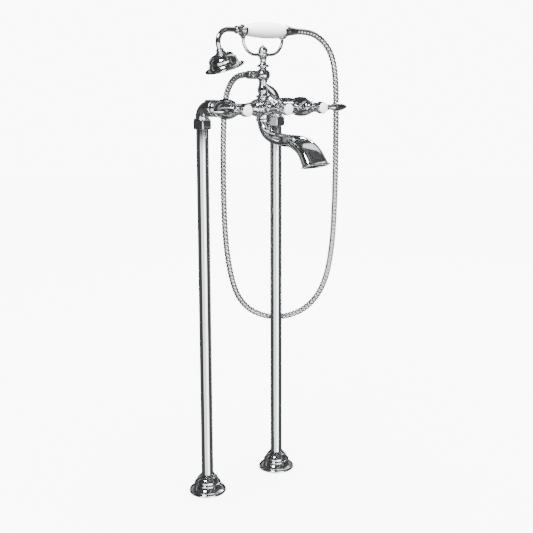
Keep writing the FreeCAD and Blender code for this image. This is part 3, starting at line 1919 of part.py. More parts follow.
def hose_path(points):
    """Straight runs joined by tangent arcs, each arc as large as its two runs allow."""
    edges, radii = [], []
    last = points[0]
    for before, point, after in zip(points, points[1:], points[2:]):
        back, ahead = before - point, after - point
        run = BEND_SHARE * min(back.Length, ahead.Length)
        radius = run * math.tan(back.getAngle(ahead) / 2)
        radii.append(radius)
        entry = point + back.normalize() * run
        leave = point + ahead.normalize() * run
        bisector = (entry - point + leave - point).normalize()
        middle = point + bisector * (math.hypot(radius, run) - radius)
        edges.append(Part.LineSegment(last, entry).toShape())
        edges.append(Part.Arc(entry, middle, leave).toShape())
        last = leave
    edges.append(Part.LineSegment(last, points[-1]).toShape())
    print("hose bend radii: " + ", ".join(f"{radius:.0f}" for radius in radii) + " mm")
    return Part.Wire(edges)


def path_frames(wire, distances):
    """Points and directions along a wire at given distances."""
    frames = []
    edges = wire.OrderedEdges
    starts = [0.0]
    for edge in edges:
        starts.append(starts[-1] + edge.Length)
    index = 0
    for distance in distances:
        while index < len(edges) - 1 and distance > starts[index + 1]:
            index += 1
        edge = edges[index]
        along = min(distance - starts[index], edge.Length)
        value = edge.getParameterByLength(along)
        frames.append((edge.valueAt(value), edge.tangentAt(value)))
    return frames


def hose():
    """A ribbed metal hose: raised ribs at a steady pitch round a plain bore."""
    wire = hose_path(hose_route())
    radius, plain = number("hose_d / 2"), number("hose_d")
    low = radius - number("hose_rib_depth")
    count = int((wire.Length - 2 * plain) / number("hose_rib_pitch"))
    pitch = (wire.Length - 2 * plain) / count
    stations, radii = [0.0], [radius]
    for rib in range(count):
        for share, raised in RIB_SHAPE:
            stations.append(plain + (rib + share) * pitch)
            radii.append(radius if raised else low)
    stations += [wire.Length - plain, wire.Length]
    radii += [low, radius]
    side = Vector(1, 0, 0)
    rings = []
    for (point, along), size in zip(path_frames(wire, stations), radii):
        side = (side - along * side.dot(along)).normalize()
        circle = Part.Circle(point, along, size)
        circle.XAxis = side
        rings.append(Part.Wire([circle.toShape()]))
    outside = Part.makeLoft(rings, True, True)
    start, along = path_frames(wire, [0.0])[0]
    section = Part.Wire([Part.Circle(start, along, number("hose_bore_r")).toShape()])
    inside = wire.makePipeShell([section], True, False)
    bore_share = inside.Volume / (math.pi * number("hose_bore_r") ** 2 * wire.Length)
    if abs(bore_share - 1) > BORE_TOLERANCE:
        raise RuntimeError(f"hose: its bore has {bore_share:.4f} of its section times its length")
    item = doc.addObject("Part::Feature", "Hose")
    item.Shape = outside.cut(inside)
    mean_r = math.sqrt(item.Shape.Volume / math.pi / wire.Length + number("hose_bore_r") ** 2)
    print(f"hose: {wire.Length:.0f} mm long, {count} ribs, {item.Shape.Volume:.0f} mm3")
    print(f"hose: bore {bore_share:.4f} of its section times its length, mean outer radius {mean_r:.2f} mm")
    finish(item, "hose")


for side_name, side_x in SIDES.items():
    floor_end(side_name, side_x)
    riser_head(side_name, side_x)
mixer_body()
for side_name, side_x in SIDES.items():
    valve(side_name, side_x, SEAT, "bonnet_length")
valve("diverter", "0", DIVERTER_SEAT, "diverter_bonnet_length")
spout()
column()
cradle()
small_pieces()
handset()
hose()
doc.recompute()

for item in doc.Objects:
    if "Invalid" in item.State or "Error" in item.State:
        raise RuntimeError(f"{item.Label} ({item.Name}) did not build: {item.State}")
os.makedirs("parts", exist_ok=True)
for item in finished:
    if item.Shape.isNull() or not item.Shape.isValid():
        raise RuntimeError(f"{item.Label} has no valid shape")
for item in finished:
    item.Shape.exportStep(f"parts/{item.Label}.step")
print(f"{len(finished)} sub-parts written")
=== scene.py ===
"""Floor standing bath filler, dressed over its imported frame. Metres, +Z up, the bath towards -Y.

Profiles are drawn in millimetres as (across, along) corners and turned into metres by the mesher.
"""

import logging
import math
from dataclasses import dataclass, field
from enum import Enum
from typing import NamedTuple, Optional, Sequence, Union

import bpy
from mathutils import Matrix, Vector


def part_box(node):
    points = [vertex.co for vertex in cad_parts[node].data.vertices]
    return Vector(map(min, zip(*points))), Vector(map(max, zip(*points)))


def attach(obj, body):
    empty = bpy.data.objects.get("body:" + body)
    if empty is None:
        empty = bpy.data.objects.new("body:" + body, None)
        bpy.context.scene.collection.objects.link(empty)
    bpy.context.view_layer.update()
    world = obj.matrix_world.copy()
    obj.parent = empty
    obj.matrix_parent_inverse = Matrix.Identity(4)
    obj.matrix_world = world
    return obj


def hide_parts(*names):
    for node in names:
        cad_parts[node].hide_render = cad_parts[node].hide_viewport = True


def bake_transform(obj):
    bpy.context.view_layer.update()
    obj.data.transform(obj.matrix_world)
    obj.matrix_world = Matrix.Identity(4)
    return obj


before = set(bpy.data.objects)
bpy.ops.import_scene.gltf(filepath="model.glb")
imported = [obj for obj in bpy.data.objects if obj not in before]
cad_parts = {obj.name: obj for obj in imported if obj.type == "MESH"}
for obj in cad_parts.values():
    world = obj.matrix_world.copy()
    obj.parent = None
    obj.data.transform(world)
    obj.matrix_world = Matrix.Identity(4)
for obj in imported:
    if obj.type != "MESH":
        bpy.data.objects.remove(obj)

LOG = logging.getLogger("bath_filler")
MM = 0.001
PHOTO_SIDE = 533

Ring = list[Vector]
Socket = bpy.types.NodeSocket


class Bend(Enum):
    """Which way an arc of an outline turns when the outline is drawn anticlockwise."""

    BULGE = 1
    HOLLOW = -1


BULGE, HOLLOW = Bend.BULGE, Bend.HOLLOW


class Facing(Enum):
    """A direction in the row frame, such as that of a turned piece's axis."""

    UP = (0.0, 0.0, 1.0)
    DOWN = (0.0, 0.0, -1.0)
    FORWARD = (0.0, -1.0, 0.0)
    BACK = (0.0, 1.0, 0.0)
    RIGHT = (1.0, 0.0, 0.0)
    LEFT = (-1.0, 0.0, 0.0)

    @property
    def way(self) -> Vector:
        """The direction as a vector."""
        return Vector(self.value)


UP, DOWN, FORWARD, BACK, RIGHT, LEFT = Facing


class Side(Enum):
    """The two supplies, each with its own riser and valve."""

    HOT = "hot"
    COLD = "cold"


class ValveKind(Enum):
    """The three valves: node suffix, moving body and the lever's turn about the forward axis."""

    HOT = ("hot", "hot_handle", 180.0)
    COLD = ("cold", "cold_handle", 0.0)
    DIVERTER = ("diverter", "diverter_handle", 135.0)


# ---------------------------------------------------------------- nodes and objects


def show(name: str, data: bpy.types.ID) -> bpy.types.Object:
    """Makes an object of some data and adds it to the scene.

    Args:
        name: The object's name.
        data: Its mesh, curve, light or camera.

    Returns:
        The object.
    """
    item = bpy.data.objects.new(name, data)
    bpy.context.scene.collection.objects.link(item)
    return item


def evaluated(item: bpy.types.Object) -> bpy.types.Mesh:
    """Takes an object's shape after its modifiers as a plain mesh.

    Args:
        item: The object.

    Returns:
        The mesh.
    """
    bpy.context.view_layer.update()
    graph = bpy.context.evaluated_depsgraph_get()
    return bpy.data.meshes.new_from_object(item.evaluated_get(graph))


@dataclass
class Wiring:
    """Adds nodes to a material, world or geometry tree and joins them."""

    tree: bpy.types.NodeTree

    def feed(self, node: bpy.types.Node, inputs: dict[Union[str, int], object]) -> None:
        """Joins sockets to a node's inputs, or sets the inputs' values.

        Args:
            node: The node.
            inputs: A socket or a value for each input, by its name or place.
        """
        for key, value in inputs.items():
            if isinstance(value, Socket):
                self.tree.links.new(value, node.inputs[key])
            else:
                node.inputs[key].default_value = value

    def add(self, kind: str, inputs: Optional[dict] = None, **options: object) -> bpy.types.Node:
        """Adds a node.

        Args:
            kind: The node's type.
            inputs: A socket or a value for each input that is set.
            options: The node's own settings.

        Returns:
            The node.
        """
        node = self.tree.nodes.new(kind)
        for key, value in options.items():
            setattr(node, key, value)
        self.feed(node, inputs or {})
        return node

    def sum(self, operation: str, a: object, b: object = 0.0) -> Socket:
        """The result of a sum of two values, each a socket or a number."""
        return self.add("ShaderNodeMath", {0: a, 1: b}, operation=operation).outputs[0]

    def mixed(self, share: Socket, a: object, b: object) -> Socket:
        """Two colours mixed by a share."""
        inputs = {"Factor": share, "A": a, "B": b}
        return self.add("ShaderNodeMix", inputs, data_type="RGBA").outputs["Result"]

    def ranged(self, value: Socket, ends: tuple[float, float], onto: tuple[float, float]) -> Socket:
        """Spreads a value between two ends over two others.

        Args:
            value: The value.
            ends: The two ends it lies between.
            onto: What the ends become.

        Returns:
            The result's socket.
        """
        inputs = {"Value": value, "From Min": ends[0], "From Max": ends[1]}
        inputs.update({"To Min": onto[0], "To Max": onto[1]})
        return self.add("ShaderNodeMapRange", inputs).outputs["Result"]


# ---------------------------------------------------------------- finishes


@dataclass(frozen=True)
class Finish:
    """A procedural finish: a shader whose colour, roughness and fine relief vary over the piece.

    The two colours and the two roughnesses are the ends of a soft noise, and the relief is a
    second, finer noise.
    """

    name: str
    slot: str
    colours: tuple[tuple[float, float, float], tuple[float, float, float]]
    roughness: tuple[float, float]
    metallic: float = 0.0
    cloud_scale: float = 14.0
    grain_scale: float = 900.0
    relief: float = 0.0
    relief_depth: float = 0.0001
    coat: float = 0.0
    coat_roughness: float = 0.03
    ior: float = 1.5
    stretch: tuple[float, float, float] = (1.0, 1.0, 1.0)
    cloud_ends: tuple[float, float] = (0.35, 0.65)

    def build(self) -> bpy.types.Material:
        """Builds the material, or returns it if it has been built before.

        Returns:
            The Blender material of this finish.
        """
        ready = bpy.data.materials.get(self.name)
        if ready is not None:
            return ready
        material = bpy.data.materials.new(self.name)
        material.use_nodes = True
        wiring = Wiring(material.node_tree)
        place = wiring.add("ShaderNodeTexCoord").outputs["Object"]
        mapping = wiring.add("ShaderNodeMapping", {"Vector": place, "Scale": self.stretch})
        cloud = self._noise(wiring, mapping, self.cloud_scale, 3.0)
        grain = self._noise(wiring, mapping, self.grain_scale, 2.0)
        bump = wiring.add("ShaderNodeBump", {
            "Strength": self.relief, "Distance": self.relief_depth, "Height": grain,
        })
        low, high = ((*colour, 1.0) for colour in self.colours)
        wiring.feed(material.node_tree.nodes["Principled BSDF"], {
            "Metallic": self.metallic,
            "IOR": self.ior,
            "Coat Weight": self.coat,
            "Coat Roughness": self.coat_roughness,
            "Base Color": wiring.mixed(cloud, low, high),
            "Roughness": wiring.ranged(cloud, self.cloud_ends, self.roughness),
            "Normal": bump.outputs["Normal"],
        })
        return material

    @staticmethod
    def _noise(wiring: Wiring, mapping: bpy.types.Node, scale: float, detail: float) -> Socket:
        """A noise over the mapped coordinates, with its features per metre and its octaves."""
        inputs = {"Vector": mapping.outputs["Vector"], "Scale": scale, "Detail": detail}
        return wiring.add("ShaderNodeTexNoise", inputs).outputs["Fac"]


CHROME = Finish(
    "polished_chrome", "chrome", ((0.80, 0.815, 0.83), (0.87, 0.88, 0.89)), (0.025, 0.055),
    metallic=1.0, cloud_scale=22.0, grain_scale=420.0, relief=0.035, relief_depth=0.0002,
)
HOSE_CHROME = Finish(
    "rolled_hose_chrome", "hose_chrome", ((0.76, 0.775, 0.79), (0.86, 0.87, 0.88)), (0.06, 0.12),
    metallic=1.0, cloud_scale=45.0, grain_scale=1600.0, relief=0.08,
)
PORCELAIN = Finish(
    "glazed_porcelain", "porcelain", ((0.84, 0.84, 0.83), (0.89, 0.89, 0.885)), (0.10, 0.18),
    cloud_scale=30.0, grain_scale=260.0, relief=0.05, relief_depth=0.0002,
    coat=1.0, coat_roughness=0.02, ior=1.55,
)
BRASS = Finish(
    "machined_brass", "brass", ((0.62, 0.46, 0.20), (0.76, 0.60, 0.32)), (0.24, 0.36),
    metallic=1.0, cloud_scale=60.0, relief=0.12, stretch=(1.0, 1.0, 12.0),
)
ZINC_STEEL = Finish(
    "zinc_plated_steel", "steel", ((0.52, 0.53, 0.55), (0.66, 0.67, 0.69)), (0.32, 0.46),
    metallic=1.0, cloud_scale=80.0, grain_scale=700.0, relief=0.15,
)
RUBBER = Finish(
    "black_rubber", "rubber", ((0.018, 0.018, 0.019), (0.035, 0.035, 0.036)), (0.62, 0.78),
    cloud_scale=120.0, grain_scale=2400.0, relief=0.2,
)
FIBRE = Finish(
    "red_fibre_washer", "fibre", ((0.22, 0.06, 0.035), (0.31, 0.11, 0.06)), (0.75, 0.9),
    cloud_scale=300.0, grain_scale=3000.0, relief=0.3,
)
JET_RUBBER = Finish(
    "grey_jet_rubber", "rubber", ((0.30, 0.31, 0.32), (0.38, 0.39, 0.40)), (0.5, 0.65),
    cloud_scale=200.0, grain_scale=2600.0, relief=0.15,
)


# ---------------------------------------------------------------- outlines


def belly(drop: float, length: float) -> float:
    """The radius of an arc that leaves its widest point along the axis and falls towards it."""
    return drop / 2 + length**2 / (2 * drop)


def rod(radius: float, length: float, foot: float = 0.0) -> list[tuple]:
    """The corners of a plain rod from its foot on."""
    return [(0.0, foot), (radius, foot), (radius, foot + length), (0.0, foot + length)]


@dataclass
class Outline:
    """A half section of a turned piece, rounded at its edges. It is closed if it has a bore.

    A corner is (across, along), or (across, along, radius, bend) where an arc ends there.
    """

    corners: Sequence[tuple]
    edge: float = 0.35
    spacing: float = 0.12
    turn_limit: float = 7.0
    arc_step: float = 1.5

    @property
    def closed(self) -> bool:
        """Whether the outline is a loop round a bore, and not a line from the axis to the axis."""
        return self.corners[0][0] > 0

    def points(self) -> list[tuple[float, float, float, float]]:
        """Points of the outline, as across, along and the two parts of the outward normal."""
        return self._thinned(self._rounded(self._even(self._dense())))

    def _dense(self) -> list[Vector]:
        """Follows the lines and arcs from corner to corner.

        Returns:
            Points on them, with every corner among them.
        """
        dense = [Vector(self.corners[0][:2])]
        for corner in [*self.corners[1:], *self.corners[:self.closed]]:
            start, end = dense[-1], Vector(corner[:2])
            if len(corner) == 4:
                dense.extend(self._arc(start, end, corner[2], corner[3]))
            dense.append(end)
        return dense

    def _arc(self, start: Vector, end: Vector, radius: float, bend: Bend) -> list[Vector]:
        """Samples an arc of less than half a circle between two points.

        Args:
            start: The point where it starts.
            end: The point where it ends.
            radius: Its radius.
            bend: The way it turns.

        Returns:
            The points between the two.
        """
        chord = end - start
        half = chord.length / 2
        rise = math.sqrt(max(radius**2 - half**2, 0.0))
        normal = Vector((-chord.y, chord.x)).normalized() * bend.value
        centre = (start + end) / 2 + normal * rise
        first = start - centre
        swing = 2 * math.asin(min(half / max(radius, half), 1.0)) * bend.value
        count = max(int(abs(swing) / math.radians(self.arc_step)), 3)
        points = []
        for step in range(1, count):
            cosine, sine = math.cos(swing * step / count), math.sin(swing * step / count)
            turned = Vector((first.x * cosine - first.y * sine, first.x * sine + first.y * cosine))
            points.append(centre + turned)
        return points

    def _even(self, dense: list[Vector]) -> list[Vector]:
        """Spaces the points evenly along the outline.

        Args:
            dense: Points on the outline, at uneven steps.

        Returns:
            Points at even steps.
        """
        total = sum((b - a).length for a, b in zip(dense, dense[1:]))
        step = total / max(int(total / self.spacing), 8)
        even, travelled, target = [dense[0].copy()], 0.0, step
        for a, b in zip(dense, dense[1:]):
            length = (b - a).length
            while length > 0 and travelled + length >= target - 1e-9:
                even.append(a.lerp(b, (target - travelled) / length))
                target += step
            travelled += length
        return even[:-1] if self.closed else even

    def _rounded(self, line: list[Vector]) -> list[Vector]:
        """Rounds the edges by averaging each point with its neighbours.

        Args:
            line: Points at even steps.

        Returns:
            As many points, drawn in at the edges.
        """
        reach = max(int(round(self.edge / self.spacing)), 1)
        count = len(line)

        def at(index: int) -> Vector:
            """Looks up a point, past the ends by mirroring in the axis.

            Args:
                index: Its index, which may lie past either end.

            Returns:
                The point.
            """
            if self.closed or 0 <= index < count:
                return line[index % count]
            point = line[-index if index < 0 else 2 * (count - 1) - index]
            return Vector((-point.x, point.y))

        weights = {k: 1 - abs(k) / (reach + 1) for k in range(-reach, reach + 1)}
        total = sum(weights.values())
        smooth = []
        for index in range(count):
            near = [at(index + k) * weight for k, weight in weights.items()]
            smooth.append(sum(near, Vector((0.0, 0.0))) / total)
        if not self.closed:
            smooth[0].x = smooth[-1].x = 0.0
        return smooth

    def _thinned(self, line: list[Vector]) -> list[tuple[float, float, float, float]]:
        """Keeps a point wherever the outline has turned enough since the last one.

        Args:
            line: Points at even steps.

        Returns:
            Across, along and the two parts of the outward normal of each point kept.
        """
        last = len(line) - 1
        ways = []
        for index in range(last + 1):
            before, after = index - 1, (index + 1) % (last + 1)
            if not self.closed:
                before, after = max(before, 0), min(index + 1, last)
            ways.append((line[after] - line[before]).normalized())
        if not self.closed:
            ways[0], ways[-1] = Vector((1.0, 0.0)), Vector((-1.0, 0.0))
        kept = [0]
        for index in range(1, last + 1):
            turned = math.degrees(ways[index].angle(ways[kept[-1]], 0.0))
            if turned > self.turn_limit or (not self.closed and index == last):
                if index - 1 > kept[-1]:
                    kept.append(index - 1)
                kept.append(index)
        return [(line[i].x, line[i].y, ways[i].y, -ways[i].x) for i in kept]


# ---------------------------------------------------------------- meshes


@dataclass
class Form:
    """Gathers the surfaces of the piece that stands for a CAD node, and makes it one object."""

    name: str
    node: str
    body: str = "root"
    verts: list[Vector] = field(default_factory=list)
    normals: list[Vector] = field(default_factory=list)
    faces: list[tuple[int, ...]] = field(default_factory=list)
    face_finishes: list[int] = field(default_factory=list)
    finishes: list[Finish] = field(default_factory=list)

    def _add(self, verts: Sequence[Vector], normals: Sequence[Vector],
             faces: Sequence[tuple[int, ...]], finish: Finish) -> None:
        """Adds a surface to the piece.

        Args:
            verts: Its points, in metres.
            normals: The normal at each of them.
            faces: Its faces, by the places of its own points.
            finish: Its finish.
        """
        if finish not in self.finishes:
            self.finishes.append(finish)
        start = len(self.verts)
        self.verts.extend(verts)
        self.normals.extend(normals)
        self.faces.extend(tuple(start + i for i in face) for face in faces)
        self.face_finishes.extend([self.finishes.index(finish)] * len(faces))

    def turned(self, outline: Outline, place: Matrix, finish: Finish = CHROME, segments: int = 96,
               flats: Optional[float] = None) -> "Form":
        """Turns an outline about its axis, and cuts it to six flats if it is a nut.

        Args:
            outline: The half section, in millimetres.
            place: Where the piece's own axis and foot stand, in metres.
            finish: The surface's finish.
            segments: Columns round the axis of a round piece.
            flats: A nut's size across its flats, in millimetres.

        Returns:
            The same form, so that calls can follow each other.
        """
        even = [2 * math.pi * k / segments for k in range(segments)]
        angles = self._nut_angles() if flats else even
        verts, normals, rows = [], [], []
        spin = place.to_3x3()
        for across, along, out, rise in outline.points():
            if across < 1e-6:
                rows.append([len(verts)])
                verts.append(place @ Vector((0.0, 0.0, along * MM)))
                normals.append((spin @ Vector((0.0, 0.0, rise))).normalized())
                continue
            rows.append(list(range(len(verts), len(verts) + len(angles))))
            for angle in angles:
                radius, lean, slope = self._hexed(across, angle, flats)
                cosine, sine = math.cos(angle), math.sin(angle)
                verts.append(place @ Vector((cosine * radius * MM, sine * radius * MM, along * MM)))
                normals.append((spin @ Vector((
                    cosine * radius * out + sine * slope * out,
                    sine * radius * out - cosine * slope * out,
                    radius * rise * lean,
                ))).normalized())
        self._add(verts, normals, self._joined(rows, outline.closed), finish)
        return self

    @staticmethod
    def _nut_angles() -> list[float]:
        """Angles round a nut, closer together at its six corners."""
        near = (-30.0, -29.2, -28.0, -26.0, -22.0, -14.0, 0.0, 14.0, 22.0, 26.0, 28.0, 29.2)
        return [math.radians(60 * face + 30 + angle) for face in range(6) for angle in near]

    @staticmethod
    def _hexed(across: float, angle: float, flats: Optional[float]) -> tuple[float, float, float]:
        """Draws a radius in to a nut's flats, with a small round where the two meet.

        Args:
            across: The turned blank's radius.
            angle: The angle round the axis.
            flats: The size across the flats, or None for a round piece.

        Returns:
            The radius, how much of the blank's slope is left, and the radius's change with angle.
        """
        if not flats:
            return across, 1.0, 0.0
        sharp = 6.0
        local = math.radians((math.degrees(angle) % 60) - 30)
        flat = flats / 2 / math.cos(local)
        low = min(across, flat)
        blank_part = math.exp(-sharp * (across - low))
        flat_part = math.exp(-sharp * (flat - low))
        total = blank_part + flat_part
        radius = low - math.log(total) / sharp + math.log(2) / sharp * min(blank_part, flat_part)
        return radius, blank_part / total, flat_part / total * flat * math.tan(local)

    @staticmethod
    def _joined(rows: Sequence[Sequence[int]], closed: bool) -> list[tuple[int, ...]]:
        """Joins rows of points into quads, and into triangles at a pole.

        Args:
            rows: The places of each row's points. A row of one point is a pole.
            closed: Whether the last row joins the first.

        Returns:
            The faces.
        """
        faces = []
        for low, high in [*zip(rows, rows[1:]), *([(rows[-1], rows[0])] if closed else [])]:
            count = max(len(low), len(high))
            for k in range(count):
                after = (k + 1) % count
                if len(low) == 1:
                    faces.append((low[0], high[after], high[k]))
                elif len(high) == 1:
                    faces.append((low[k], low[after], high[0]))
                else:
                    faces.append((low[k], low[after], high[after], high[k]))
        return faces

    def lofted(self, rings: Sequence[Ring], closed: bool = False) -> "Form":
        """Lays a chrome skin over rings drawn anticlockwise seen from the end.

        Args:
            rings: Rings of as many points each, in metres. One of one point closes the skin there.
            closed: Whether the last ring joins the first.

        Returns:
            The same form.
        """
        verts, rows = [], []
        for ring in rings:
            rows.append(list(range(len(verts), len(verts) + len(ring))))
            verts.extend(ring)
        faces = self._joined(rows, closed)
        normals = [Vector((0.0, 0.0, 0.0)) for _ in verts]
        for face in faces:
            first, *others = (verts[i] for i in face)
            area = Vector((0.0, 0.0, 0.0))
            for before, after in zip(others, others[1:]):
                area += (before - first).cross(after - first)
            for i in face:
                normals[i] += area.normalized()
        normals = [n.normalized() if n.length > 0 else UP.way for n in normals]
        self._add(verts, normals, faces, CHROME)
        return self

    def meshed(self, mesh: bpy.types.Mesh, place: Matrix, finish: Finish) -> "Form":
        """Adds a mesh that a node tree has made.

        Args:
            mesh: The mesh, in its own place.
            place: Where it goes.
            finish: Its finish.

        Returns:
            The same form.
        """
        spin = place.to_3x3()
        verts = [place @ v.co for v in mesh.vertices]
        normals = [(spin @ v.normal).normalized() for v in mesh.vertices]
        self._add(verts, normals, [tuple(p.vertices) for p in mesh.polygons], finish)
        return self

    def piece(self) -> None:
        """Makes the object at the origin, unturned and unscaled, and hands it to its body."""
        mesh = bpy.data.meshes.new(self.name)
        mesh.from_pydata([tuple(v) for v in self.verts], [], self.faces)
        for finish in self.finishes:
            mesh.materials.append(finish.build())
        mesh.polygons.foreach_set("material_index", self.face_finishes)
        mesh.polygons.foreach_set("use_smooth", [True] * len(self.faces))
        mesh.update()
        mesh.normals_split_custom_set_from_vertices([tuple(n) for n in self.normals])
        item = show(self.name, mesh)
        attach(item, self.body)
        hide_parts(self.node)
        LOG.info("%s: %d faces, stands for %s", self.name, len(self.faces), self.node)


def box(node: str) -> tuple[Vector, Vector, Vector]:
    """The low corner, the high corner and the middle of a CAD node's box, in metres."""
    low, high = (Vector(corner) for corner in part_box(node))
    return low, high, (low + high) / 2


def placed(point: Vector, way: Vector) -> Matrix:
    """The placement that stands a piece's axis at a point, along a direction."""
    return Matrix.Translation(point) @ UP.way.rotation_difference(way).to_matrix().to_4x4()


def turn(name: str, node: str, place: Union[Facing, Matrix], corners: Sequence[tuple],
         body: str = "root", finish: Finish = CHROME, segments: int = 96,
         flats: Optional[float] = None, **outline: float) -> None:
    """Turns a piece that stands for a CAD node.

    Args:
        name: The piece's name.
        node: The CAD node's name.
        place: Its placement, or the way it faces from the foot of the node's box.
        corners: Its outline's corners, in millimetres.
        body: The body it rides on.
        finish: Its finish.
        segments: Columns round its axis.
        flats: A nut's size across its flats, in millimetres.
        outline: The outline's other settings.
    """
    if isinstance(place, Facing):
        low, high, middle = box(node)
        place = placed(middle - place.way * abs(place.way.dot(high - low)) / 2, place.way)
    section = Outline(corners, **outline)
    Form(name, node, body).turned(section, place, finish, segments, flats).piece()


@dataclass
class Path:
    """A centre line of straight runs and arcs in one plane, in metres.

    It starts at a point along a first direction, and each step turns about the same axis.
    """

    start: Vector
    along: Vector
    turn_axis: Vector

    def __post_init__(self) -> None:
        """Puts the first point on the line."""
        self.points, self.ways = [self.start], [self.along]

    def run(self, length: float, steps: int = 2) -> "Path":
        """Goes straight on for a length in metres.

        Args:
            length: The length.
            steps: Points on it.

        Returns:
            The same path.
        """
        start, way = self.points[-1], self.ways[-1]
        for step in range(1, steps + 1):
            self.points.append(start + way * length * step / steps)
            self.ways.append(way)
        return self

    def arc(self, radius: float, degrees: float, steps: int = 18) -> "Path":
        """Turns through an angle on a radius in metres.

        Args:
            radius: The radius.
            degrees: The angle, which is positive.
            steps: Points on the arc.

        Returns:
            The same path.
        """
        start, way = self.points[-1], self.ways[-1]
        centre = start + self.turn_axis.cross(way) * radius
        for step in range(1, steps + 1):
            spin = Matrix.Rotation(math.radians(degrees) * step / steps, 3, self.turn_axis)
            self.points.append(centre + spin @ (start - centre))
            self.ways.append(spin @ way)
        return self

    def rings(self, half: float, aside: Optional[float] = None, soft: int = 0,
              squareness: float = 2.0, count: int = 40) -> list[Ring]:
        """Draws a ring square to the line at each of its points.

        Args:
            half: The half width in the line's plane, in metres.
            aside: The half width along the turn axis, where it isn't the same.
            soft: Rings at each end over which the bar is drawn in.
            squareness: Two for an ellipse, and more for a rounded rectangle.
            count: Points in a ring.

        Returns:
            The rings, anticlockwise seen from the line's end.
        """
        aside = half if aside is None else aside
        rings, last = [], len(self.points) - 1
        for index, (point, way) in enumerate(zip(self.points, self.ways)):
            end = min(index, last - index)
            share = 1.0 if end >= soft else math.sin(math.pi / 2 * (end + 1) / (soft + 1))
            across = self.turn_axis.cross(way)
            ring = []
            for k in range(count):
                a, b = power_circle(2 * math.pi * k / count, squareness)
                inward = across * (a * half * share)
                ring.append(point - inward - self.turn_axis * (b * aside * share))
            rings.append(ring[::-1])
        return rings

    def bar(self, *sizes: float, **options: float) -> list[Ring]:
        """Draws the rings of a bar, and closes its two ends with a point each."""
        return [[self.points[0]], *self.rings(*sizes, **options), [self.points[-1]]]


def power_circle(angle: float, squareness: float) -> tuple[float, float]:
    """A point of a unit curve between a circle, at squareness two, and a square."""
    ways = math.cos(angle), math.sin(angle)
    return tuple(math.copysign(abs(way) ** (2 / squareness), way) for way in ways)


# ---------------------------------------------------------------- floor ends


@dataclass
class FloorEnd:
    """An escutcheon on the floor and the riser that stands in it."""

    side: Side
    foot_r: float = 41.5
    foot_height: float = 6.5
    skirt_r: float = 37.5
    tier_r: float = 29.0
    tier_low: float = 17.0
    tier_high: float = 21.5
    dome_r: float = 26.0
    dome_low: float = 23.0
    dome_top_r: float = 17.5
    dome_high: float = 36.0
    height: float = 39.5
    bore_r: float = 13.75
    wall: float = 1.8
    riser_r: float = 13.45
    riser_wall: float = 2.0

    def build(self) -> None:
        """Turns the stepped and domed cover, and the riser pipe."""
        side = self.side.value
        dome = belly(self.dome_r - self.dome_top_r, self.dome_high - self.dome_low)
        turn(f"floor_cover_{side}", f"escutcheon_{side}", UP, [
            (self.foot_r - self.wall, 0.0), (self.foot_r, 0.0), (self.foot_r, self.foot_height / 2),
            (self.skirt_r, self.foot_height, self.foot_height * 0.8, BULGE),
            (self.skirt_r, self.foot_height + 1),
            (self.tier_r, self.tier_low, self.tier_low * 1.1, HOLLOW),
            (self.tier_r, self.tier_high, (self.tier_high - self.tier_low) * 0.6, BULGE),
            (self.dome_r, self.tier_high), (self.dome_r, self.dome_low),
            (self.dome_top_r, self.dome_high, dome, BULGE),
            (self.dome_top_r - 1, self.height), (self.bore_r, self.height),
            (self.bore_r, self.dome_high), (self.dome_top_r - self.wall, self.dome_high - 3),
            (self.dome_r - self.wall - 1, self.dome_low),
            (self.tier_r - self.wall - 3, self.tier_low),
            (self.skirt_r - self.wall - 1, self.foot_height),
        ], segments=128)
        node = f"riser_{side}"
        low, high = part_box(node)
        length, bore = (high[2] - low[2]) / MM, self.riser_r - self.riser_wall
        corners = [(bore, 0.0), (self.riser_r, 0.0), (self.riser_r, length), (bore, length)]
        turn(f"riser_pipe_{side}", node, UP, corners, edge=0.5, spacing=0.25)


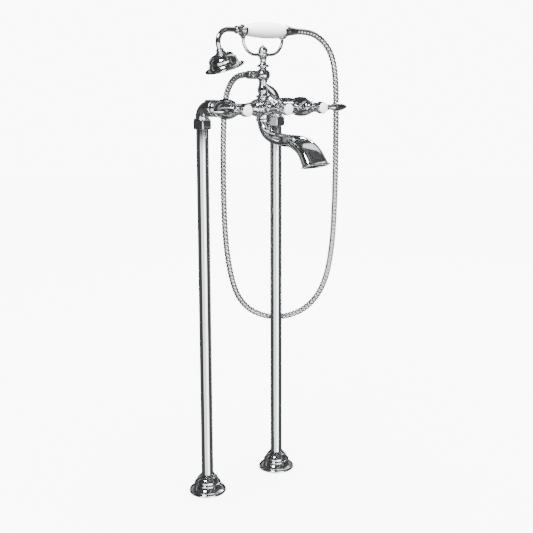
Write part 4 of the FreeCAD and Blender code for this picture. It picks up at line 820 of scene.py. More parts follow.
@dataclass
class RiserHead:
    """The nut, elbow and union nut that turn a riser forward into the mixer body."""

    side: Side
    nut_flats: float = 36.8
    nut_bore_r: float = 13.5
    nut_floor: float = 3.0
    union_flats: float = 35.6
    union_bore_r: float = 14.55
    union_floor: float = 4.0
    elbow_r: float = 14.5
    bend_r: float = 23.0
    collar: float = 2.3
    collar_r: float = 17.0
    spigot_r: float = 15.7
    spigot_depth: float = 11.0
    flange: float = 3.0
    flange_r: float = 15.9

    def build(self) -> None:
        """Builds the two nuts and the elbow."""
        side = self.side.value
        seats = (self.nut_bore_r, self.nut_floor, self.spigot_r)
        self._nut(f"riser_nut_{side}", UP, self.nut_flats, *seats)
        seats = (self.union_bore_r, self.union_floor, self.flange_r)
        self._nut(f"union_nut_{side}", FORWARD, self.union_flats, *seats)
        self._elbow(f"elbow_{side}")

    @staticmethod
    def _nut(node: str, facing: Facing, flats: float, bore: float, floor: float,
             thread: float) -> None:
        """Cuts a nut, chamfered at both ends.

        Args:
            node: The CAD node's name.
            facing: The way it faces from its floor.
            flats: Its size across the flats.
            bore: The radius of the bore in its floor.
            floor: The floor's thickness.
            thread: The thread's radius.
        """
        low, high, _ = box(node)
        height = abs((high - low).dot(facing.way)) / MM
        corner, face, bevel = flats * 0.57, flats * 0.49, flats * 0.045
        turn(node.replace("nut", "hex_nut"), node, facing, [
            (bore, 0.0), (face, 0.0), (corner, bevel), (corner, height - bevel), (face, height),
            (thread, height), (thread, floor), (bore, floor),
        ], flats=flats, edge=0.3)

    def _elbow(self, node: str) -> None:
        """Bends the elbow from its spigot to its flange in the union nut.

        Args:
            node: The CAD node's name.
        """
        low, _, middle = box(node)
        foot = Vector((middle.x, 0.0, low.z))
        top = self.spigot_depth + self.collar
        path = Path(foot, UP.way, RIGHT.way)
        path.run(top * MM).arc(self.bend_r * MM, 90).run(-low.y - self.bend_r * MM)
        mouth = Vector((middle.x, low.y + self.flange * MM, low.z + (top + self.bend_r) * MM))
        form = Form(node.replace("elbow", "elbow_bend"), node)
        form.lofted(path.bar(self.elbow_r * MM, count=64))
        form.turned(Outline([
            (0.0, 0.0), (self.spigot_r, 0.0), (self.spigot_r, self.spigot_depth),
            (self.collar_r, self.spigot_depth), (self.collar_r, top, self.collar * 0.6, BULGE),
            (0.0, top),
        ]), placed(foot, UP.way))
        form.turned(Outline(rod(self.flange_r, self.flange)), placed(mouth, FORWARD.way)).piece()


# ---------------------------------------------------------------- mixer body and valves


@dataclass
class MixerBody:
    """The cast body: a valve bulb at each end of the cross arms, and the barrel between them."""

    bulb_r: float = 21.5
    back_r: float = 14.0
    back_length: float = 28.0
    front_length: float = 33.0
    tail_thread: float = 15.3
    tail_ring: float = 7.5
    tail_ring_r: float = 16.8
    tail_neck: float = 2.0
    thread_r: float = 15.9
    seat_r: float = 12.6
    barrel_r: float = 20.2
    band_r: float = 21.0
    band: float = 2.4
    barrel_half: float = 12.5
    bead: float = 5.5
    bead_r: float = 17.5
    arm_bead: float = 5.0
    arm_bead_r: float = 15.6
    arm_root_r: float = 14.6
    arm_r: float = 10.3
    arm_neck: float = 54.0
    diverter_reach: float = 28.4
    diverter_hollow: float = 40.0
    column_r: float = 12.8
    column_height: float = 26.6
    column_flange: float = 4.5
    column_flange_r: float = 14.6
    spout_boss_r: float = 14.3
    spout_boss: float = 21.5

    def build(self) -> None:
        """Builds the casting."""
        form = Form("mixer_casting", "mixer_body")
        valve = box("cartridge_hot")[2]
        tail = box("mixer_body")[1].y
        hub = Vector((0.0, box("column_nut")[2].y, valve.z))
        for x, facing in (valve.x, LEFT), (-valve.x, RIGHT):
            form.turned(self._bulb(), placed(Vector((x, tail, valve.z)), FORWARD.way))
            form.turned(self._arm(abs(x) / MM), placed(hub, facing.way))
        low = self.column_height - self.column_flange
        form.turned(Outline([
            (0.0, 0.0), (self.column_r, 0.0), (self.column_r, low - 1), (self.column_flange_r, low),
            (self.column_flange_r, self.column_height, self.column_flange * 0.7, BULGE),
            (0.0, self.column_height),
        ]), placed(hub, UP.way))
        form.turned(Outline([
            (0.0, 0.0), (self.band_r - 4, 0.0),
            (self.seat_r + 2, self.diverter_reach - 4, self.diverter_hollow, HOLLOW),
            (self.seat_r, self.diverter_reach), (0.0, self.diverter_reach),
        ]), placed(hub, FORWARD.way))
        form.turned(Outline(rod(self.spout_boss_r, self.spout_boss)), placed(hub, DOWN.way)).piece()

    def _bulb(self) -> Outline:
        """Draws a valve bulb from its threaded tail to its seat.

        Returns:
            The outline.
        """
        ring = self.tail_thread + self.tail_ring
        start = ring + self.tail_neck
        widest, end = start + self.back_length, start + self.back_length + self.front_length
        return Outline([
            (0.0, 0.0), (self.thread_r, 0.0), (self.thread_r, self.tail_thread),
            (self.tail_ring_r, self.tail_thread),
            (self.tail_ring_r, ring, self.tail_ring * 0.8, BULGE),
            (self.back_r, ring), (self.back_r, start),
            (self.bulb_r, widest, belly(self.bulb_r - self.back_r, self.back_length), BULGE),
            (self.seat_r, end, belly(self.bulb_r - self.seat_r, self.front_length), BULGE),
            (0.0, end),
        ])

    def _arm(self, reach: float) -> Outline:
        """Draws half the barrel, its beads and one cross arm.

        Args:
            reach: How far the arm reaches from the barrel's middle.

        Returns:
            The outline.
        """
        one = self.barrel_half + 1.5
        two = one + self.bead + 1
        start = two + self.arm_bead + 1
        hollow = belly(self.arm_root_r - self.arm_r, self.arm_neck - start)
        return Outline([
            (0.0, 0.0), (self.band_r, 0.0), (self.band_r, self.band), (self.barrel_r, self.band),
            (self.barrel_r, self.barrel_half), (self.bead_r, one),
            (self.bead_r, one + self.bead, self.bead * 0.55, BULGE),
            (self.arm_bead_r, one + self.bead), (self.arm_bead_r, two),
            (self.arm_bead_r, two + self.arm_bead, self.arm_bead * 0.55, BULGE),
            (self.arm_root_r, start), (self.arm_r, self.arm_neck, hollow, HOLLOW),
            (self.arm_r, reach), (0.0, reach),
        ])


@dataclass
class Valve:
    """A valve's bonnet, its lever, and the porcelain button in its chrome rim."""

    kind: ValveKind
    gap: float = 0.3
    seat_r: float = 12.6
    neck_r: float = 8.6
    front_r: float = 10.2
    bead: float = 6.0
    stem_r: float = 4.35
    nose_r: float = 6.95
    nose: float = 6.0
    hub_length: float = 13.7
    hub_back_r: float = 9.4
    hub_r: float = 13.0
    hub_grip: float = 0.3
    hub_round: float = 5.0
    hub_web: float = 5.0
    recess_r: float = 8.0
    reach: float = 76.0
    arm_start: float = 9.5
    arm_neck_r: float = 4.0
    flare: float = 0.6
    collar: float = 21.0
    collar_width: float = 3.6
    collar_r: float = 5.4
    drop_start: float = 27.0
    drop_belly: float = 46.0
    drop_r: float = 9.0
    tip_r: float = 1.0
    button_r: float = 11.2
    button_thick: float = 2.6
    button_crown: float = 1.2
    rim_gap: float = 0.05
    rim_ledge: float = 1.5
    rim_wall: float = 1.3
    rim_height: float = 3.2

    def build(self) -> None:
        """Builds the bonnet, the lever, the rim and the button."""
        suffix, body, degrees = self.kind.value
        self._bonnet(suffix)
        self._lever(suffix, body, math.radians(degrees))
        bore, outer = self.button_r + self.rim_gap, self.button_r + self.rim_gap + self.rim_wall
        ledge, seat = self.button_r - self.rim_ledge, self.rim_height - self.button_thick
        turn(f"button_bezel_{suffix}", f"button_rim_{suffix}", FORWARD, [
            (ledge, 0.0), (outer, 0.0), (outer, self.rim_height - 1),
            (bore, self.rim_height, self.rim_wall * 1.2, BULGE), (bore, seat), (ledge, seat),
        ], body, segments=80, edge=0.2, spacing=0.08)
        crown_r = self.button_r**2 / (2 * self.button_crown) + self.button_crown / 2
        turn(f"porcelain_button_{suffix}", f"button_{suffix}", FORWARD, [
            (0.0, 0.0), (self.button_r, 0.0), (self.button_r, self.button_thick),
            (0.0, self.button_thick + self.button_crown, crown_r, BULGE),
        ], body, PORCELAIN, segments=80, edge=0.45)

    def _bonnet(self, suffix: str) -> None:
        """Turns the bonnet between the seat and the lever's hub.

        Args:
            suffix: The ending of the valve's node names.
        """
        node = f"bonnet_{suffix}"
        low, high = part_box(node)
        length = (high[1] - low[1]) / MM
        bead_low = length - self.bead * 2.2
        bead_high = bead_low + self.bead
        turn(f"valve_bonnet_{suffix}", node, FORWARD, [
            (self.nose_r, 0.0), (self.seat_r, 0.0), (self.seat_r, 2.0),
            (self.neck_r, 7.0, 9.0, HOLLOW), (self.neck_r, bead_low),
            (self.neck_r, bead_high, self.bead * 0.55, BULGE), (self.neck_r, bead_high + 1),
            (self.front_r, length - 3, 6.0, HOLLOW), (self.front_r, length),
            (self.stem_r, length), (self.stem_r, self.nose), (self.nose_r, self.nose),
        ], segments=80, edge=0.25)

    def _lever(self, suffix: str, body: str, angle: float) -> None:
        """Turns the hub, and the teardrop arm that grows out of its side.

        Args:
            suffix: The ending of the valve's node names.
            body: The body that moves with the lever.
            angle: The arm's angle about the forward axis, in radians.
        """
        low, _, middle = box(f"bonnet_{suffix}")
        hub = Vector((middle.x, low.y - self.gap * MM, middle.z))
        root = hub + FORWARD.way * (self.hub_length / 2 * MM)
        # Seen from the front, a lever at no angle points right and one at a quarter turn points up.
        outward = Vector((math.cos(angle), 0.0, math.sin(angle)))
        neck, collar_end = self.arm_neck_r, self.collar + self.collar_width
        bore = self.stem_r - self.hub_grip
        fore = belly(self.drop_r - neck, self.drop_belly - self.drop_start)
        aft = belly(self.drop_r - self.tip_r, self.reach - self.drop_belly)
        form = Form(f"lever_arm_{suffix}", f"lever_{suffix}", body)
        form.turned(Outline([
            (bore, 0.0), (self.hub_back_r, 0.0),
            (self.hub_r, self.hub_round, self.hub_round * 1.4, BULGE),
            (self.hub_r, self.hub_length), (self.recess_r, self.hub_length),
            (self.recess_r, self.hub_web), (bore, self.hub_web),
        ], edge=0.4), placed(hub, FORWARD.way))
        form.turned(Outline([
            (0.0, self.arm_start), (neck + self.flare, self.arm_start), (neck, self.collar),
            (self.collar_r, self.collar),
            (self.collar_r, collar_end, self.collar_width * 0.6, BULGE),
            (neck - self.flare, collar_end), (neck, self.drop_start),
            (self.drop_r, self.drop_belly, fore, BULGE), (self.tip_r, self.reach, aft, BULGE),
            (0.0, self.reach),
        ], edge=0.3), placed(root, outward), segments=72).piece()


# ---------------------------------------------------------------- spout


class Station(NamedTuple):
    """A cross section of the spout: place and sizes in millimetres, and slope in degrees."""

    forward: float
    down: float
    slope: float
    width: float
    depth: float
    squareness: float


@dataclass
class Spout:
    """The spout that swells from a round neck to a wide flat mouth, and its collar."""

    root_r: float = 12.5
    flange_r: float = 13.3
    flange: float = 2.2
    spigot_r: float = 10.3
    spigot: float = 10.3
    reach: float = 170.8
    drop: float = 84.2
    mouth_width: float = 58.0
    mouth_depth: float = 34.0
    mouth_tilt: float = 71.0
    mouth_squareness: float = 2.85
    wall: float = 2.2
    lip: float = 2.6
    proud: float = 2.4
    soft: float = 0.35
    ring_points: int = 96
    fill: int = 8
    first_inner: int = 3
    collar_r: float = 15.8
    collar_height: float = 7.5
    collar_gap: float = 0.6
    collar_round: float = 1.2

    def build(self) -> None:
        """Lays the spout's skin, turns its root's flange, and turns the collar that holds it."""
        top = box("spout")[1].z - (self.spigot + self.flange) * MM
        root = Vector((0.0, box("spout_collar")[2].y, top))
        form = Form("swan_spout", "spout", "swivel_spout").lofted(self._skin(root))
        form.turned(Outline([
            (0.0, 0.0), (self.flange_r, 0.0), (self.flange_r, self.flange),
            (self.spigot_r, self.flange), (self.spigot_r, self.flange + self.spigot),
            (0.0, self.flange + self.spigot),
        ], edge=0.2), placed(root, UP.way)).piece()
        bore, seat = self.root_r + self.collar_gap, self.flange_r + self.collar_gap / 2
        lower = self.collar_height - self.collar_gap - self.flange
        soft, inner = self.collar_round, self.collar_r - self.collar_round
        turn("spout_collar_ring", "spout_collar", UP, [
            (bore, 0.0), (inner, 0.0), (self.collar_r, soft, soft * 1.5, BULGE),
            (self.collar_r, self.collar_height - soft),
            (inner, self.collar_height, soft * 1.5, BULGE), (seat, self.collar_height),
            (seat, lower), (bore, lower),
        ], edge=0.25)

    def _stations(self) -> list[Station]:
        """Lists the cross sections from root to mouth, with smooth ones between the drawn ones.

        Returns:
            The stations.
        """
        root, wide, deep = 2 * self.root_r, self.mouth_width, self.mouth_depth
        drawn = [
            (0.0, 0.0, 90, root, root, 2.0),
            (0.0, 0.065, 90, root, root, 2.0),
            (0.007, 0.13, 78, root, root, 2.0),
            (0.067, 0.31, 52, root * 1.04, root * 0.98, 2.0),
            (0.155, 0.415, 24, root * 1.06, root * 0.98, 2.05),
            (0.30, 0.455, 3, root * 1.1, root, 2.15),
            (0.47, 0.485, 8, root * 0.5 + wide * 0.32, root * 1.08, 2.4),
            (0.66, 0.49, 29, wide * 0.86, deep * 0.79, 2.7),
            (0.877, 0.69, 51, wide * 0.915, deep * 0.86, 2.8),
            (1.0, 1.0, self.mouth_tilt, wide, deep, self.mouth_squareness),
        ]
        return self._smooth([
            Station(x * self.reach, y * self.drop, *rest) for x, y, *rest in drawn
        ])

    def _smooth(self, drawn: Sequence[Station]) -> list[Station]:
        """Runs a smooth curve through every size of the drawn stations, spaced as the stations are.

        Args:
            drawn: The drawn stations.

        Returns:
            Them, with the stations between them.
        """
        columns = list(zip(*drawn))
        spots = [0.0]
        for before, after in zip(drawn, drawn[1:]):
            way = math.hypot(after.forward - before.forward, after.down - before.down)
            spots.append(spots[-1] + way)
        slopes = [self._slopes(spots, column) for column in columns]
        smooth = []
        for index in range(len(drawn) - 1):
            span = spots[index + 1] - spots[index]
            for share in (step / self.fill for step in range(self.fill)):
                rest = 1 - share
                values = []
                for column, slope in zip(columns, slopes):
                    level = column[index] * rest**2 * (1 + 2 * share)
                    level += column[index + 1] * share**2 * (3 - 2 * share)
                    bend = slope[index] * rest - slope[index + 1] * share
                    values.append(level + span * share * rest * bend)
                smooth.append(Station(*values))
        return [*smooth, drawn[-1]]

    @staticmethod
    def _slopes(spots: Sequence[float], column: Sequence[float]) -> list[float]:
        """Works out the slope of one size at each spot from the rises beside it.

        The rise over the shorter stretch counts more.

        Args:
            spots: Each station's distance along the spout.
            column: The size at each station.

        Returns:
            The slopes.
        """
        spans = [after - before for before, after in zip(spots, spots[1:])]
        rises = [(b - a) / span for a, b, span in zip(column, column[1:], spans)]
        inner = [
            (rises[k] * spans[k + 1] + rises[k + 1] * spans[k]) / (spans[k] + spans[k + 1])
            for k in range(len(rises) - 1)
        ]
        return [rises[0], *inner, rises[-1]]

    def _ring(self, root: Vector, station: Station, grow: float, out: float = 0.0) -> Ring:
        """Draws the ring of a station.

        Args:
            root: The middle of the spout's root, in metres.
            station: The cross section.
            grow: How far it stands out from the spout's skin, in millimetres.
            out: How far it is moved along the spout.

        Returns:
            The ring, in metres.
        """
        lean = math.radians(station.slope)
        along = Vector((0.0, -math.cos(lean), -math.sin(lean)))
        up = Vector((0.0, -math.sin(lean), math.cos(lean)))
        centre = root + Vector((0.0, -station.forward, -station.down)) * MM + along * out * MM
        ring = []
        for k in range(self.ring_points):
            wide, deep = power_circle(-2 * math.pi * k / self.ring_points, station.squareness)
            across = Vector((wide * (station.width / 2 + grow) * MM, 0.0, 0.0))
            ring.append(centre + across + up * deep * (station.depth / 2 + grow) * MM)
        return ring

    def _skin(self, root: Vector) -> list[Ring]:
        """Draws the outer skin, the lip and the inner skin, from the root on.

        Args:
            root: The middle of the spout's root, in metres.

        Returns:
            The rings.
        """
        stations = self._stations()
        mouth, end, soft, proud = stations[-1], stations[self.first_inner], self.soft, self.proud
        lip = (
            (0.0, -soft), (soft, 0.0), (proud - soft, 0.0), (proud - soft * 0.3, soft * 0.3),
            (proud, soft), (proud, self.lip - soft), (proud - soft * 0.3, self.lip - soft * 0.3),
            (proud - soft, self.lip), (soft - self.wall, self.lip), (-self.wall, self.lip - soft),
        )
        return [
            [root + UP.way * (self.flange * MM)],
            self._ring(root, stations[0], 0.0, -self.flange),
            *(self._ring(root, station, 0.0) for station in stations[:-1]),
            *(self._ring(root, mouth, grow, out) for grow, out in lip),
            *(self._ring(root, at, -self.wall) for at in reversed(stations[self.first_inner:])),
            [root + Vector((0.0, -end.forward, -end.down)) * MM],
        ]


# ---------------------------------------------------------------- column and cradle


@dataclass
class Column:
    """The nut, ball, cradle post and finial on the mixer body, and the hose's outlet."""

    nut_r: float = 12.0
    nut_end_r: float = 9.6
    nut_height: float = 20.4
    thread_r: float = 7.0
    stub: float = 7.0
    neck: float = 6.6
    neck_r: float = 9.3
    ball_r: float = 15.0
    ball_neck_r: float = 7.2
    ball_top: float = 16.0
    outlet_r: float = 7.5
    outlet_reach: float = 34.6
    outlet_gap: float = 0.05
    rear_nut_r: float = 9.2
    rear_nut_length: float = 31.1
    rear_thread: float = 10.0
    groove: float = 0.8
    groove_width: float = 1.2
    hose_end_r: float = 7.6
    bore_r: float = 4.5
    post_stub_r: float = 4.9
    post_stub: float = 7.0
    post_collar_r: float = 11.6
    post_collar: float = 5.6
    post_foot_r: float = 8.7
    waist_r: float = 6.6
    waist: float = 12.6
    cup_r: float = 12.8
    cup_height: float = 31.0
    cup_rim: float = 6.5
    cup_round: float = 2.0
    finial_foot_r: float = 9.2
    finial_r: float = 10.2
    finial_belly: float = 3.8
    finial_height: float = 17.0
    finial_spigot: float = 1.0
    finial_spigot_r: float = 4.0
    finial_tip_r: float = 1.2

    def build(self) -> None:
        """Turns the barrel-shaped column nut, the ball, the rear nut, the post and the finial."""
        curve = belly(self.nut_r - self.nut_end_r, self.nut_height / 2)
        turn("column_nut_barrel", "column_nut", UP, [
            (self.thread_r, 0.0), (self.nut_end_r, 0.0),
            (self.nut_r, self.nut_height / 2, curve, BULGE),
            (self.nut_end_r, self.nut_height, curve, BULGE), (self.thread_r, self.nut_height),
        ])
        self._ball()
        self._rear_nut()
        self._post()
        foot, tip = self.finial_spigot, self.finial_height - self.finial_tip_r
        swell = belly(self.finial_r - self.finial_foot_r, self.finial_belly)
        turn("cradle_finial", "finial", UP, [
            (0.0, 0.0), (self.finial_spigot_r, 0.0), (self.finial_spigot_r, foot),
            (self.finial_foot_r, foot), (self.finial_r, foot + self.finial_belly, swell, BULGE),
            (self.finial_tip_r, tip, self.finial_height * 0.9, BULGE), (0.0, self.finial_height),
        ], segments=72, edge=0.3)

    def _ball(self) -> None:
        """Turns the ball on its neck, with the outlet behind it."""
        foot = self.nut_height + self.stub
        middle = foot + self.neck + self.ball_r
        low_rise = math.sqrt(self.ball_r**2 - self.neck_r**2)
        high_rise = math.sqrt(self.ball_r**2 - self.ball_neck_r**2)
        base = Vector((0.0, box("column_nut")[2].y, box("swivel_ball")[0].z))
        form = Form("swivel_ball_casting", "swivel_ball")
        form.turned(Outline([
            (0.0, 0.0), (self.thread_r, 0.0), (self.thread_r, foot), (self.neck_r, foot),
            (self.neck_r, middle - low_rise), (self.ball_r, middle, self.ball_r, BULGE),
            (self.ball_neck_r, middle + high_rise, self.ball_r, BULGE),
            (self.ball_neck_r, middle + self.ball_top), (0.0, middle + self.ball_top),
        ]), placed(base, UP.way))
        nipple = Outline(rod(self.outlet_r, self.outlet_reach))
        form.turned(nipple, placed(base + UP.way * (middle * MM), BACK.way)).piece()

    def _rear_nut(self) -> None:
        """Turns the long nut that holds the hose to the ball's outlet."""
        inner, narrow = self.rear_thread + 2, self.rear_nut_r - self.groove
        start, wide = self.rear_thread + self.groove, self.outlet_r + self.outlet_gap
        end = start + self.groove_width
        turn("hose_nut_back", "hose_nut_rear", BACK, [
            (wide, 0.0), (self.rear_nut_r, 0.0), (self.rear_nut_r, self.rear_thread),
            (narrow, start), (narrow, end), (self.rear_nut_r, end + self.groove),
            (self.rear_nut_r, self.rear_nut_length - 4),
            (self.hose_end_r, self.rear_nut_length, 7.0, BULGE),
            (self.bore_r, self.rear_nut_length), (self.bore_r, inner), (wide, inner),
        ], edge=0.2)

    def _post(self) -> None:
        """Turns the cradle's post with its collar, waist and cup."""
        foot, top = self.post_stub, self.post_stub + self.cup_height
        collar_top, seat = foot + self.post_collar, top - self.finial_spigot
        turn("cradle_stem", "cradle_post", UP, [
            (0.0, 0.0), (self.post_stub_r, 0.0), (self.post_stub_r, foot),
            (self.post_collar_r, foot),
            (self.post_collar_r, collar_top, self.post_collar * 0.6, BULGE),
            (self.post_foot_r, collar_top), (self.waist_r, foot + self.waist, 9.0, HOLLOW),
            (self.cup_r, top - self.cup_rim, 16.0, HOLLOW),
            (self.cup_r, top - self.cup_round, 2 * self.cup_round, BULGE),
            (self.cup_r - self.cup_round, top), (self.finial_spigot_r, top),
            (self.finial_spigot_r, seat), (0.0, seat),
        ])


@dataclass
class Cradle:
    """The bent fork through the post's cup, and the crescent saddles on its ends."""

    rod_r: float = 3.4
    bend_r: float = 32.0
    reach: float = 51.5
    saddle_width: float = 8.0
    saddle_thick: float = 3.4
    saddle_gap: float = 0.3
    boss_r: float = 4.6
    horn: float = 5.0

    def build(self) -> None:
        """Bends the fork, and on its ends bends the crescents and turns their bosses."""
        axis_y, level = box("cradle_post")[2].y, box("grip")[2].z
        top = box("cradle_fork")[1].z
        path = Path(Vector((-self.reach * MM, axis_y, top)), DOWN.way, FORWARD.way)
        path.arc(self.bend_r * MM, 90, 24).run(2 * (self.reach - self.bend_r) * MM)
        path.arc(self.bend_r * MM, 90, 24)
        Form("cradle_fork_rod", "cradle_fork").lofted(path.bar(self.rod_r * MM)).piece()
        form = Form("cradle_crescents", "cradle_saddles")
        grip = Handset()
        for sign in (-1, 1):
            edge = self.reach - self.saddle_width / 2
            inner = grip.radius(sign, edge - sign * grip.crown) + self.saddle_gap
            middle_r = (inner + self.saddle_thick / 2) * MM
            x = sign * self.reach * MM
            start = Vector((x, axis_y + middle_r, level + self.horn * MM))
            path = Path(start, DOWN.way, LEFT.way)
            path.run(self.horn * MM, 6).arc(middle_r, 180, 36).run(self.horn * MM, 6)
            thick, wide = self.saddle_thick / 2 * MM, self.saddle_width / 2 * MM
            form.lofted(path.bar(thick, wide, soft=4, squareness=4.0, count=36))
            boss = Outline(rod(self.boss_r, (level - middle_r - top) / MM), edge=0.6)
            form.turned(boss, placed(Vector((x, axis_y, top)), UP.way), segments=48)
        form.piece()


# ---------------------------------------------------------------- handset


@dataclass
class Handset:
    """The porcelain grip, its fittings, the gooseneck and the bell-shaped shower head."""

    left: float = 52.0
    right: float = 57.8
    crown: float = 14.0
    left_r: float = 10.4
    grip_r: float = 16.8
    right_r: float = 12.6
    tube_r: float = 6.05
    ring: float = 6.9
    ring_r: float = 13.4
    ferrule: float = 19.4
    ferrule_r: float = 8.3
    ferrule_flange: float = 3.6
    ferrule_flange_r: float = 10.4
    neck_r: float = 5.4
    neck_bore_r: float = 3.8
    neck_bend_r: float = 25.0
    neck_run: float = 33.85
    neck_turn: float = 109.0
    neck_drop: float = 6.7
    nut_r: float = 11.0
    nut_end_r: float = 7.6
    nut_length: float = 26.6
    nut_band: float = 3.0
    nut_bore_r: float = 4.0
    thread: float = 10.0
    collar: float = 10.5
    collar_r: float = 8.0
    step: float = 1.5
    shoulder_r: float = 12.0
    dome_r: float = 29.5
    dome: float = 12.0
    waist: float = 24.0
    rim_r: float = 41.5
    depth: float = 40.2
    lip: float = 2.4
    wall: float = 1.8
    gap: float = 0.05
    face_thick: float = 2.0
    face_recess: float = 0.8
    face_ledge: float = 1.6
    jet_rings: int = 4
    jet_pitch: float = 8.0

    def build(self) -> None:
        """Builds the grip, its fittings, the gooseneck and the shower head."""
        length = self.left + self.right
        turn("porcelain_grip", "grip", RIGHT, [
            (self.tube_r, 0.0), (self.left_r - 1, 0.0), (self.left_r, 1.0, 1.2, BULGE),
            (self.grip_r, self.left + self.crown, self._curve(-1), BULGE),
            (self.right_r, length - 1, self._curve(1), BULGE),
            (self.right_r - 1, length, 1.2, BULGE), (self.tube_r, length),
        ], "handset", PORCELAIN, segments=112, edge=0.3, turn_limit=4.0)
        turn("grip_end_ring", "grip_ring", RIGHT, [
            (self.tube_r, 0.0), (self.ring_r, 0.0), (self.ring_r, self.ring / 3),
            (self.nut_r, self.ring - 0.8, self.ring * 1.2, BULGE), (self.nut_r, self.ring),
            (self.tube_r, self.ring),
        ], "handset", edge=0.25)
        flange, bore = self.ferrule_flange, self.neck_r + self.gap
        turn("neck_ferrule", "grip_ferrule", LEFT, [
            (bore, 0.0), (self.ferrule_flange_r, 0.0),
            (self.ferrule_flange_r, flange, flange * 0.6, BULGE), (self.ferrule_r, flange),
            (self.ferrule_r, self.ferrule - 2), (self.neck_r + 1, self.ferrule, 3.0, BULGE),
            (bore, self.ferrule),
        ], "handset", edge=0.25)
        band, narrow, bore = self.nut_band, self.nut_r - 1, self.nut_bore_r
        turn("hose_nut_tapered", "hose_nut_handset", RIGHT, [
            (self.tube_r, 0.0), (self.nut_r, 0.0), (self.nut_r, band), (narrow, band + 0.8),
            (narrow, band + 1.8), (self.nut_end_r, self.nut_length), (bore, self.nut_length),
            (bore, self.thread), (self.tube_r, self.thread),
        ], "handset", edge=0.2)
        self._gooseneck()

    def _curve(self, sign: int) -> float:
        """The radius of the grip's long arc towards one end."""
        end_r, length = (self.left_r, self.left) if sign < 0 else (self.right_r, self.right)
        return belly(self.grip_r - end_r, length - sign * self.crown - 1)

    def radius(self, sign: int, distance: float) -> float:
        """The grip's radius at a distance from its crown towards one end."""
        curve = self._curve(sign)
        return self.grip_r - (curve - math.sqrt(curve**2 - distance**2))

    def _gooseneck(self) -> None:
        """Bends the gooseneck from inside the ferrule, and builds the shower head on its end."""
        low, _, middle = box("grip")
        start = Vector((low.x - (self.ferrule_flange + self.gap) * MM, middle.y, middle.z))
        path = Path(start, LEFT.way, FORWARD.way).run(self.neck_run * MM, 4)
        path.arc(self.neck_bend_r * MM, self.neck_turn, 30).run(self.neck_drop * MM)
        outer = path.rings(self.neck_r * MM, count=48)
        inner = path.rings(self.neck_bore_r * MM, count=48)
        form = Form("gooseneck_tube", "gooseneck", "handset")
        form.lofted([*outer, *reversed(inner)], closed=True).piece()
        self._head(placed(path.points[-1], path.ways[-1]))

    def _head(self, head: Matrix) -> None:
        """Turns the stepped collar, the bell and the spray plate, and sets its rubber jets.

        Args:
            head: The shower head's placement, with its axis from the neck down to the mouth.
        """
        wide, bore, collar = self.collar_r + self.step, self.neck_bore_r, self.collar
        turn("rose_neck_collar", "rose_collar", head, [
            (bore, 0.0), (self.collar_r, 0.0), (self.collar_r, collar * 0.3, collar * 0.2, BULGE),
            (self.collar_r - self.step, collar * 0.4), (wide, collar * 0.5),
            (wide, collar * 0.75, collar * 0.2, BULGE), (self.shoulder_r, collar * 0.85),
            (self.shoulder_r, collar), (bore, collar),
        ], "handset", segments=80, edge=0.25)
        flare = belly(self.rim_r - self.dome_r, self.depth - self.lip - self.waist)
        face_top = self.depth - self.face_recess - self.face_thick
        slant = math.sqrt((flare + self.wall) ** 2 - (face_top - self.waist) ** 2)
        ledge = self.dome_r + flare - slant
        seat, low, inside = ledge + self.face_ledge, collar + self.dome, self.dome_r - self.wall
        turn("rose_bell_shell", "rose_bell", head, [
            (bore, collar), (self.shoulder_r + 4, collar),
            (self.dome_r, low, self.dome_r * 0.55, BULGE), (self.dome_r, self.waist),
            (self.rim_r, self.depth - self.lip, flare, HOLLOW),
            (self.rim_r, self.depth, self.lip * 0.6, BULGE), (seat, self.depth), (seat, face_top),
            (ledge, face_top), (inside, self.waist, flare + self.wall, BULGE), (inside, low),
            (self.shoulder_r + 1, collar + self.wall), (bore, collar + self.wall),
        ], "handset", segments=144, edge=0.3, turn_limit=4.0)
        plate = Outline(rod(seat - self.gap, self.face_thick, face_top), edge=0.3)
        under = Matrix.Translation((0.0, 0.0, (face_top + self.face_thick) * MM))
        form = Form("spray_plate", "rose_face", "handset").turned(plate, head, segments=112)
        jets = JetField(self.jet_rings, self.jet_pitch).mesh()
        form.meshed(jets, head @ under, JET_RUBBER).piece()


# ---------------------------------------------------------------- grown pieces


class GeometryTree(Wiring):
    """A Geometry Nodes tree with named inputs, and the call that turns its result into a mesh."""

    def __init__(self, name: str, inputs: dict[str, float]) -> None:
        """Makes the tree, its sockets and the node that gives their values.

        Args:
            name: The tree's name.
            inputs: The values of its own inputs, by name.
        """
        super().__init__(bpy.data.node_groups.new(name, "GeometryNodeTree"))
        interface = self.tree.interface
        interface.new_socket("Geometry", in_out="INPUT", socket_type="NodeSocketGeometry")
        self.values = {}
        for label, value in inputs.items():
            socket = interface.new_socket(label, in_out="INPUT", socket_type="NodeSocketFloat")
            self.values[socket.identifier] = value
        interface.new_socket("Geometry", in_out="OUTPUT", socket_type="NodeSocketGeometry")
        self.entry = self.add("NodeGroupInput").outputs

    def grown(self, base: bpy.types.Object, geometry: Socket, finish: Finish) -> bpy.types.Mesh:
        """Ends the tree, runs it on an object and takes the result as a plain mesh.

        Args:
            base: The object to run it on. It is deleted afterwards.
            geometry: The geometry, which is realized, smoothed and dressed first.
            finish: The finish of all of it.

        Returns:
            The mesh.
        """
        for kind in (
            "GeometryNodeRealizeInstances", "GeometryNodeSetShadeSmooth", "GeometryNodeSetMaterial",
        ):
            node = self.add(kind, {"Geometry": geometry})
            geometry = node.outputs["Geometry"]
        node.inputs["Material"].default_value = finish.build()
        self.add("NodeGroupOutput", {"Geometry": geometry})
        modifier = base.modifiers.new(self.tree.name, "NODES")
        modifier.node_group = self.tree
        for key, value in self.values.items():
            modifier[key] = value
        mesh = evaluated(base)
        base.modifiers.remove(modifier)
        bpy.data.objects.remove(base)
        return mesh


